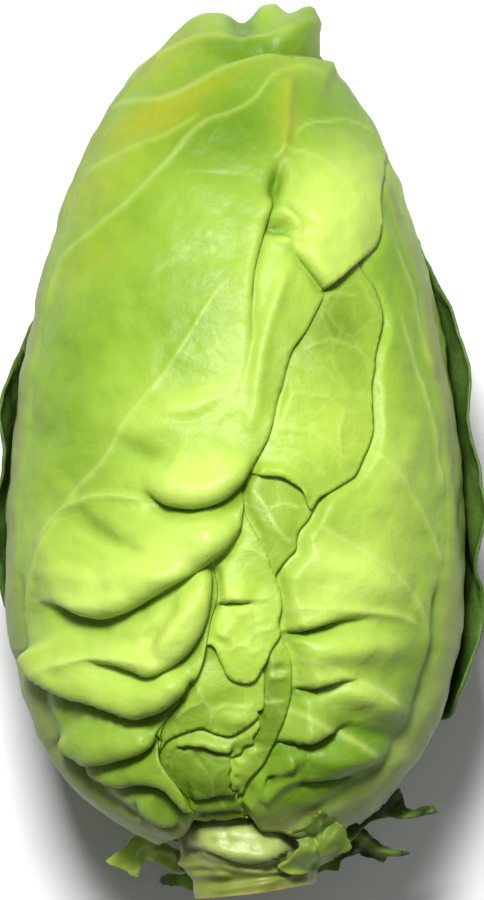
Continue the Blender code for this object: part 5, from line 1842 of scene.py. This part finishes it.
class NodeGraph:
    """Adds nodes to a material or a node group and joins them."""

    def __init__(self, tree: bpy.types.NodeTree) -> None:
        """Keep the tree.

        Args:
            tree: Node tree that is filled.
        """
        self.tree = tree

    def add(self, kind: str, inputs: dict[str | int, object] | None = None,
            **settings: object) -> bpy.types.Node:
        """Add a node, with settings, and values or links for its inputs.

        Args:
            kind: Type of the node.
            inputs: A value or an output socket for each input.
            **settings: Properties of the node.

        Returns:
            The node.
        """
        node = self.tree.nodes.new(kind)
        for name, value in settings.items():
            setattr(node, name, value)
        for name, value in (inputs or {}).items():
            if isinstance(value, bpy.types.NodeSocket):
                self.tree.links.new(value, node.inputs[name])
            else:
                node.inputs[name].default_value = value
        return node

    def mask(self, name: str) -> bpy.types.NodeSocket:
        """Read one of the piece's masks."""
        return self.add("ShaderNodeAttribute", attribute_name=name).outputs["Fac"]

    def lay(self) -> bpy.types.NodeSocket:
        """Read the unrolled places of the piece."""
        return self.add("ShaderNodeAttribute", attribute_name="lay").outputs["Vector"]

    def calculate(self, operation: str, first: object, second: object,
                  clamp: bool = False) -> bpy.types.NodeSocket:
        """Combine two numbers.

        Args:
            operation: Kind of calculation.
            first: Value or socket.
            second: Value or socket.
            clamp: Whether the result is kept between 0 and 1.

        Returns:
            The result.
        """
        node = self.add("ShaderNodeMath", {0: first, 1: second}, operation=operation, use_clamp=clamp)
        return node.outputs[0]

    def spread(self, value: object, low: float, high: float, start: float = 0.0,
               end: float = 1.0) -> bpy.types.NodeSocket:
        """Map a number smoothly from one span to another, kept inside it.

        Args:
            value: Value or socket.
            low: Value that gives start.
            high: Value that gives end.
            start: Result at low.
            end: Result at high.

        Returns:
            The mapped number.
        """
        node = self.add("ShaderNodeMapRange", {"Value": value, "From Min": low, "From Max": high,
                                               "To Min": start, "To Max": end})
        return node.outputs["Result"]

    def mix(self, share: object, first: object, second: object) -> bpy.types.NodeSocket:
        """Blend two colours.

        Args:
            share: Share of the second colour.
            first: Colour or socket.
            second: Colour or socket.

        Returns:
            The blended colour.
        """
        node = self.tree.nodes.new("ShaderNodeMix")
        node.data_type = "RGBA"
        for index, value in ((0, share), (6, first), (7, second)):
            if isinstance(value, bpy.types.NodeSocket):
                self.tree.links.new(value, node.inputs[index])
            elif index == 0:
                node.inputs[index].default_value = value
            else:
                node.inputs[index].default_value = (*value, 1.0)
        return node.outputs[2]


def new_group(name: str, inputs: dict[str, str], outputs: dict[str, str]) -> bpy.types.NodeTree:
    """Start a node group with its sockets and its two end nodes.

    Args:
        name: Name of the group.
        inputs: Socket type of each input.
        outputs: Socket type of each output.

    Returns:
        The group.
    """
    group = bpy.data.node_groups.new(name, "ShaderNodeTree")
    for socket, kind in inputs.items():
        group.interface.new_socket(socket, in_out="INPUT", socket_type=kind)
    for socket, kind in outputs.items():
        group.interface.new_socket(socket, in_out="OUTPUT", socket_type=kind)
    return group


def venation_group() -> bpy.types.NodeTree:
    """Make the net of fine veins between the drawn ones.

    Returns:
        Group with the mask of the net and the height of the blade between.
    """
    group = new_group("leaf venation", {"Lay": "NodeSocketVector", "Scale": "NodeSocketFloat"},
                      {"Net": "NodeSocketFloat", "Height": "NodeSocketFloat"})
    graph = NodeGraph(group)
    start = graph.add("NodeGroupInput")
    sway = graph.add("ShaderNodeTexNoise", {"Vector": start.outputs["Lay"], "Scale": 150.0, "Detail": 2.0})
    centred = graph.add("ShaderNodeVectorMath", {0: sway.outputs["Color"], 1: (0.5, 0.5, 0.5)},
                        operation="SUBTRACT")
    swayed = graph.add("ShaderNodeVectorMath", {0: centred.outputs[0], 1: (0.0045, 0.0045, 0.0)},
                       operation="MULTIPLY")
    place = graph.add("ShaderNodeVectorMath", {0: start.outputs["Lay"], 1: swayed.outputs[0]},
                      operation="ADD")
    coarse = graph.add("ShaderNodeTexVoronoi", {"Vector": place.outputs[0], "Scale": start.outputs["Scale"],
                                                "Randomness": 0.9}, feature="DISTANCE_TO_EDGE")
    finer = graph.calculate("MULTIPLY", start.outputs["Scale"], 2.7)
    fine = graph.add("ShaderNodeTexVoronoi", {"Vector": place.outputs[0], "Scale": finer,
                                              "Randomness": 0.9}, feature="DISTANCE_TO_EDGE")
    broad_net = graph.spread(coarse.outputs["Distance"], 0.0, 0.055, 1.0, 0.0)
    fine_net = graph.spread(fine.outputs["Distance"], 0.0, 0.06, 0.45, 0.0)
    net = graph.calculate("MAXIMUM", broad_net, fine_net)
    dome = graph.spread(coarse.outputs["Distance"], 0.0, 0.4, 0.0, 1.0)
    small_dome = graph.spread(fine.outputs["Distance"], 0.0, 0.4, 0.0, 0.3)
    height = graph.calculate("ADD", dome, small_dome)
    graph.add("NodeGroupOutput", {"Net": net, "Height": height})
    return group


def tone_group() -> bpy.types.NodeTree:
    """Make the soft unevenness of colour over a leaf and its fine grain.

    Returns:
        Group with a broad mottling, a fine grain and the height of small blisters.
    """
    group = new_group("leaf tone", {"Place": "NodeSocketVector"},
                      {"Mottle": "NodeSocketFloat", "Grain": "NodeSocketFloat",
                       "Blister": "NodeSocketFloat"})
    graph = NodeGraph(group)
    start = graph.add("NodeGroupInput")
    broad = graph.add("ShaderNodeTexNoise", {"Vector": start.outputs["Place"], "Scale": 46.0,
                                             "Detail": 3.0, "Roughness": 0.55})
    fine = graph.add("ShaderNodeTexNoise", {"Vector": start.outputs["Place"], "Scale": 620.0,
                                            "Detail": 2.0, "Roughness": 0.6})
    mottle = graph.spread(broad.outputs["Fac"], 0.34, 0.66)
    grain = graph.spread(fine.outputs["Fac"], 0.3, 0.7)
    blister = graph.add("ShaderNodeTexNoise", {"Vector": start.outputs["Place"], "Scale": 150.0,
                                               "Detail": 4.0, "Roughness": 0.52})
    graph.add("NodeGroupOutput", {"Mottle": mottle, "Grain": grain, "Blister": blister.outputs["Fac"]})
    return group


@dataclass(frozen=True)
class LeafFinish:
    """Colours and surface of one kind of leaf."""

    name: str
    base: Colour
    # Deep green: the real mottled tone, and the colour of painted shade in hollows, grooves, under curls and
    # towards the stump.
    deep: Colour
    # Colour of painted light: lightened crests, highlights and lit areas.
    bright: Colour
    gold: Colour
    vein: Colour
    rib: Colour
    pale: Colour
    roughness: float = 0.45
    sheen: float = 0.34
    net_scale: float = 95.0
    net_share: float = 0.16
    relief: float = 0.00022
    blister: float = 0.00090
    glow: float = 0.08

    def material(self, venation: bpy.types.NodeTree, tone: bpy.types.NodeTree) -> bpy.types.Material:
        """Build the material.

        Args:
            venation: Group with the net of fine veins.
            tone: Group with the unevenness of colour.

        Returns:
            The material.
        """
        material = bpy.data.materials.new(self.name)
        material.use_nodes = True
        tree = material.node_tree
        tree.nodes.clear()
        graph = NodeGraph(tree)
        place = graph.add("ShaderNodeTexCoord").outputs["Object"]
        net = graph.add("ShaderNodeGroup", {}, node_tree=venation)
        tree.links.new(graph.lay(), net.inputs["Lay"])
        net.inputs["Scale"].default_value = self.net_scale
        shade = graph.add("ShaderNodeGroup", {}, node_tree=tone)
        tree.links.new(place, shade.inputs["Place"])
        colour = graph.mix(graph.calculate("MULTIPLY", shade.outputs["Mottle"], 0.45), self.base, self.deep)
        # Painted light: lightens crests, highlights and lit areas.
        colour = graph.mix(graph.mask("bright"), colour, self.bright)
        # Painted shade: darkens hollows, grooves, places under curls and the parts towards the stump.
        colour = graph.mix(graph.mask("deep"), colour, self.deep)
        colour = graph.mix(graph.mask("gold"), colour, self.gold)
        colour = graph.mix(graph.mask("pale"), colour, self.pale)
        colour = graph.mix(graph.calculate("MULTIPLY", net.outputs["Net"], self.net_share), colour, self.vein)
        colour = graph.mix(graph.calculate("MULTIPLY", graph.mask("vein"), 0.6), colour, self.vein)
        colour = graph.mix(graph.calculate("MULTIPLY", graph.mask("rib"), 0.92), colour, self.rib)
        ribs = graph.calculate("SUBTRACT", 1.0, graph.mask("rib"), clamp=True)
        blade = graph.calculate("MULTIPLY", net.outputs["Height"], ribs)
        net_bump = graph.add("ShaderNodeBump", {"Height": blade, "Strength": 0.7, "Distance": self.relief})
        bump = graph.add("ShaderNodeBump", {"Height": shade.outputs["Blister"], "Strength": 0.8,
                                            "Distance": self.blister, "Normal": net_bump.outputs[0]})
        rough = graph.spread(shade.outputs["Grain"], 0.0, 1.0, self.roughness - 0.04, self.roughness + 0.08)
        surface = graph.add("ShaderNodeBsdfPrincipled", {
            "Base Color": colour, "Roughness": rough, "Normal": bump.outputs[0], "IOR": 1.45,
            "Specular IOR Level": self.sheen})
        through = graph.add("ShaderNodeBsdfTranslucent", {"Color": colour, "Normal": bump.outputs[0]})
        blend = graph.add("ShaderNodeMixShader", {0: self.glow, 1: surface.outputs[0],
                                                  2: through.outputs[0]})
        graph.add("ShaderNodeOutputMaterial", {"Surface": blend.outputs[0]})
        return material


@dataclass(frozen=True)
class StemFinish:
    """Colours and surface of the cut stump."""

    name: str = "cut stem"
    skin: Colour = tint(116, 124, 44)
    shade: Colour = tint(96, 114, 30)
    scar: Colour = tint(158, 174, 94)
    dots: Colour = tint(134, 156, 66)
    face: Colour = tint(150, 140, 76)
    pith: Colour = tint(212, 208, 156)
    roughness: float = 0.45

    def material(self, tone: bpy.types.NodeTree) -> bpy.types.Material:
        """Build the material.

        Args:
            tone: Group with the unevenness of colour.

        Returns:
            The material.
        """
        material = bpy.data.materials.new(self.name)
        material.use_nodes = True
        tree = material.node_tree
        tree.nodes.clear()
        graph = NodeGraph(tree)
        place = graph.add("ShaderNodeTexCoord").outputs["Object"]
        shade = graph.add("ShaderNodeGroup", {}, node_tree=tone)
        tree.links.new(place, shade.inputs["Place"])
        stretched = graph.add("ShaderNodeMapping", {"Vector": graph.lay(), "Scale": (0.4, 1.0, 1.0)})
        fibre = graph.add("ShaderNodeTexNoise", {"Vector": stretched.outputs[0], "Scale": 260.0,
                                                 "Detail": 3.0}).outputs["Fac"]
        streak = graph.spread(fibre, 0.40, 0.68)
        colour = graph.mix(streak, self.skin, self.shade)
        colour = graph.mix(graph.calculate("MULTIPLY", shade.outputs["Mottle"], 0.3), colour, self.scar)
        colour = graph.mix(graph.mask("scar"), colour, self.scar)
        colour = graph.mix(graph.mask("dots"), colour, self.dots)
        colour = graph.mix(graph.mask("face"), colour, self.face)
        heart = graph.calculate("MULTIPLY", graph.mask("pith"), graph.mask("face"))
        colour = graph.mix(heart, colour, self.pith)
        height = graph.calculate("ADD", fibre, graph.calculate("MULTIPLY", shade.outputs["Grain"], 0.4))
        bump = graph.add("ShaderNodeBump", {"Height": height, "Strength": 0.6, "Distance": 0.0003})
        surface = graph.add("ShaderNodeBsdfPrincipled", {
            "Base Color": colour, "Roughness": self.roughness, "Normal": bump.outputs[0]})
        graph.add("ShaderNodeOutputMaterial", {"Surface": surface.outputs[0]})
        return material


class Finishes:
    """All materials of the cabbage, by kind of leaf."""

    def __init__(self) -> None:
        """Build the node groups and the materials."""
        venation = venation_group()
        tone = tone_group()
        kinds = {
            "head": LeafFinish(
                "outer leaf", base=tint(150, 184, 60), deep=tint(94, 132, 16), bright=tint(184, 210, 92),
                gold=tint(150, 156, 22), vein=tint(186, 206, 104), rib=tint(132, 150, 76),
                pale=tint(150, 160, 84), net_share=0.05, relief=0.00010),
            "inner": LeafFinish(
                "inner leaf", base=tint(156, 190, 62), deep=tint(80, 112, 10), bright=tint(180, 210, 80),
                gold=tint(172, 174, 50), vein=tint(190, 214, 112), rib=tint(146, 165, 92),
                pale=tint(184, 194, 122), net_share=0.14, net_scale=80.0, relief=0.00016),
            "wrapper": LeafFinish(
                "dark outer leaf", base=tint(66, 94, 34), deep=tint(44, 68, 22), bright=tint(90, 122, 44),
                gold=tint(110, 124, 44), vein=tint(126, 150, 82), rib=tint(178, 192, 138),
                pale=tint(150, 170, 100), glow=0.06),
            "torn": LeafFinish(
                "torn leaf base", base=tint(104, 138, 36), deep=tint(40, 60, 12), bright=tint(168, 196, 78),
                gold=tint(150, 150, 60), vein=tint(140, 168, 66), rib=tint(140, 160, 76),
                pale=tint(208, 212, 128), relief=0.0003),
            "heart": LeafFinish(
                "heart leaf", base=tint(196, 208, 110), deep=tint(176, 194, 90), bright=tint(210, 220, 130),
                gold=tint(200, 196, 90), vein=tint(222, 226, 170), rib=tint(222, 224, 170),
                pale=tint(222, 222, 160)),
        }
        self.leaves = {kind: finish.material(venation, tone) for kind, finish in kinds.items()}
        self.stem = StemFinish().material(tone)


@dataclass
class Studio:
    """A plain pale floor, soft light from the tip side and the camera straight above."""

    floor_size: float = 6.0
    camera_height: float = 1.856
    look_height: float = 0.056
    half_height: float = 0.126
    sensor: float = 36.0
    key_power: float = 31.0
    key_place: tuple[float, float, float] = (-0.12, 0.62, 1.30)
    key_size: float = 0.32
    fill_power: float = 2.0
    fill_place: tuple[float, float, float] = (0.35, 0.15, 1.4)
    fill_size: float = 0.8
    sky: float = 0.13

    def floor(self) -> bpy.types.Object:
        """Lay the floor."""
        body = bmesh.new()
        bmesh.ops.create_grid(body, x_segments=1, y_segments=1, size=self.floor_size / 2.0)
        mesh = bpy.data.meshes.new("floor")
        body.to_mesh(mesh)
        body.free()
        piece = bpy.data.objects.new("floor", mesh)
        bpy.context.scene.collection.objects.link(piece)
        material = bpy.data.materials.new("pale floor")
        material.use_nodes = True
        shader = material.node_tree.nodes["Principled BSDF"]
        shader.inputs["Base Color"].default_value = (0.78, 0.78, 0.78, 1.0)
        shader.inputs["Roughness"].default_value = 0.9
        mesh.materials.append(material)
        return piece

    def lamp(self, name: str, place: tuple[float, float, float], size: float,
             power: float) -> bpy.types.Object:
        """Hang a square lamp that faces the cabbage.

        Args:
            name: Name of the lamp.
            place: Where it hangs.
            size: Length of its sides.
            power: Its power in watts.

        Returns:
            The lamp.
        """
        light = bpy.data.lights.new(name, "AREA")
        light.size = size
        light.energy = power
        lamp = bpy.data.objects.new(name, light)
        lamp.location = place
        aim = Vector((0.0, 0.0, self.look_height)) - Vector(place)
        lamp.rotation_euler = aim.to_track_quat("-Z", "Y").to_euler()
        bpy.context.scene.collection.objects.link(lamp)
        return lamp

    def camera(self) -> bpy.types.Object:
        """Set the camera straight above, with the tip up in the picture."""
        lens = bpy.data.cameras.new("camera")
        lens.sensor_fit = "VERTICAL"
        lens.sensor_height = self.sensor
        lens.lens = self.sensor / 2.0 * (self.camera_height - self.look_height) / self.half_height
        camera = bpy.data.objects.new("camera", lens)
        camera.location = (0.0, (DRAWING_MIDDLE[1] - FRAME_SIZE[1] / 2.0) * UNIT, self.camera_height)
        bpy.context.scene.collection.objects.link(camera)
        bpy.context.scene.camera = camera
        return camera

    def build(self) -> None:
        """Set up the floor, the lights, the sky and the camera."""
        self.floor()
        self.lamp("key", self.key_place, self.key_size, self.key_power)
        self.lamp("fill", self.fill_place, self.fill_size, self.fill_power)
        world = bpy.data.worlds.new("studio")
        world.use_nodes = True
        world.node_tree.nodes["Background"].inputs["Color"].default_value = (1.0, 1.0, 1.0, 1.0)
        world.node_tree.nodes["Background"].inputs["Strength"].default_value = self.sky
        bpy.context.scene.world = world
        self.camera()
        bpy.context.scene.view_settings.view_transform = "Standard"


def report(piece: bpy.types.Object) -> None:
    """Log a finished piece and its size."""
    LOG.info("%s: %d faces", piece.name, len(piece.data.polygons))


def main() -> None:
    """Build the cabbage and its studio."""
    logging.basicConfig(level=logging.INFO, format="%(message)s")
    finishes = Finishes()
    outer, inner, wrappers = OuterLeaves(), InnerLeaves(), Wrappers()
    stack = Stack([wrappers.right(), wrappers.left(), outer.left(), inner.middle(), inner.tongue(),
                   inner.under_middle(), inner.throat(), inner.folds(), inner.strip(), outer.right()])
    maker = SheetMaker(stack)
    for index, leaf in enumerate(stack.leaves):
        piece = maker.make(index)
        piece.data.materials.append(finishes.leaves[leaf.finish])
        report(piece)
    stump = Stump()
    heart = Heart(stack, stump).build()
    heart.data.materials.append(finishes.leaves["heart"])
    report(heart)
    stem = stump.build()
    stem.data.materials.append(finishes.stem)
    report(stem)
    bases = TornBases(stump)
    for base in bases.bases():
        piece = bases.build(base)
        piece.data.materials.append(finishes.leaves["torn"])
        report(piece)
    Studio().build()


if __name__ == "__main__":
    main()
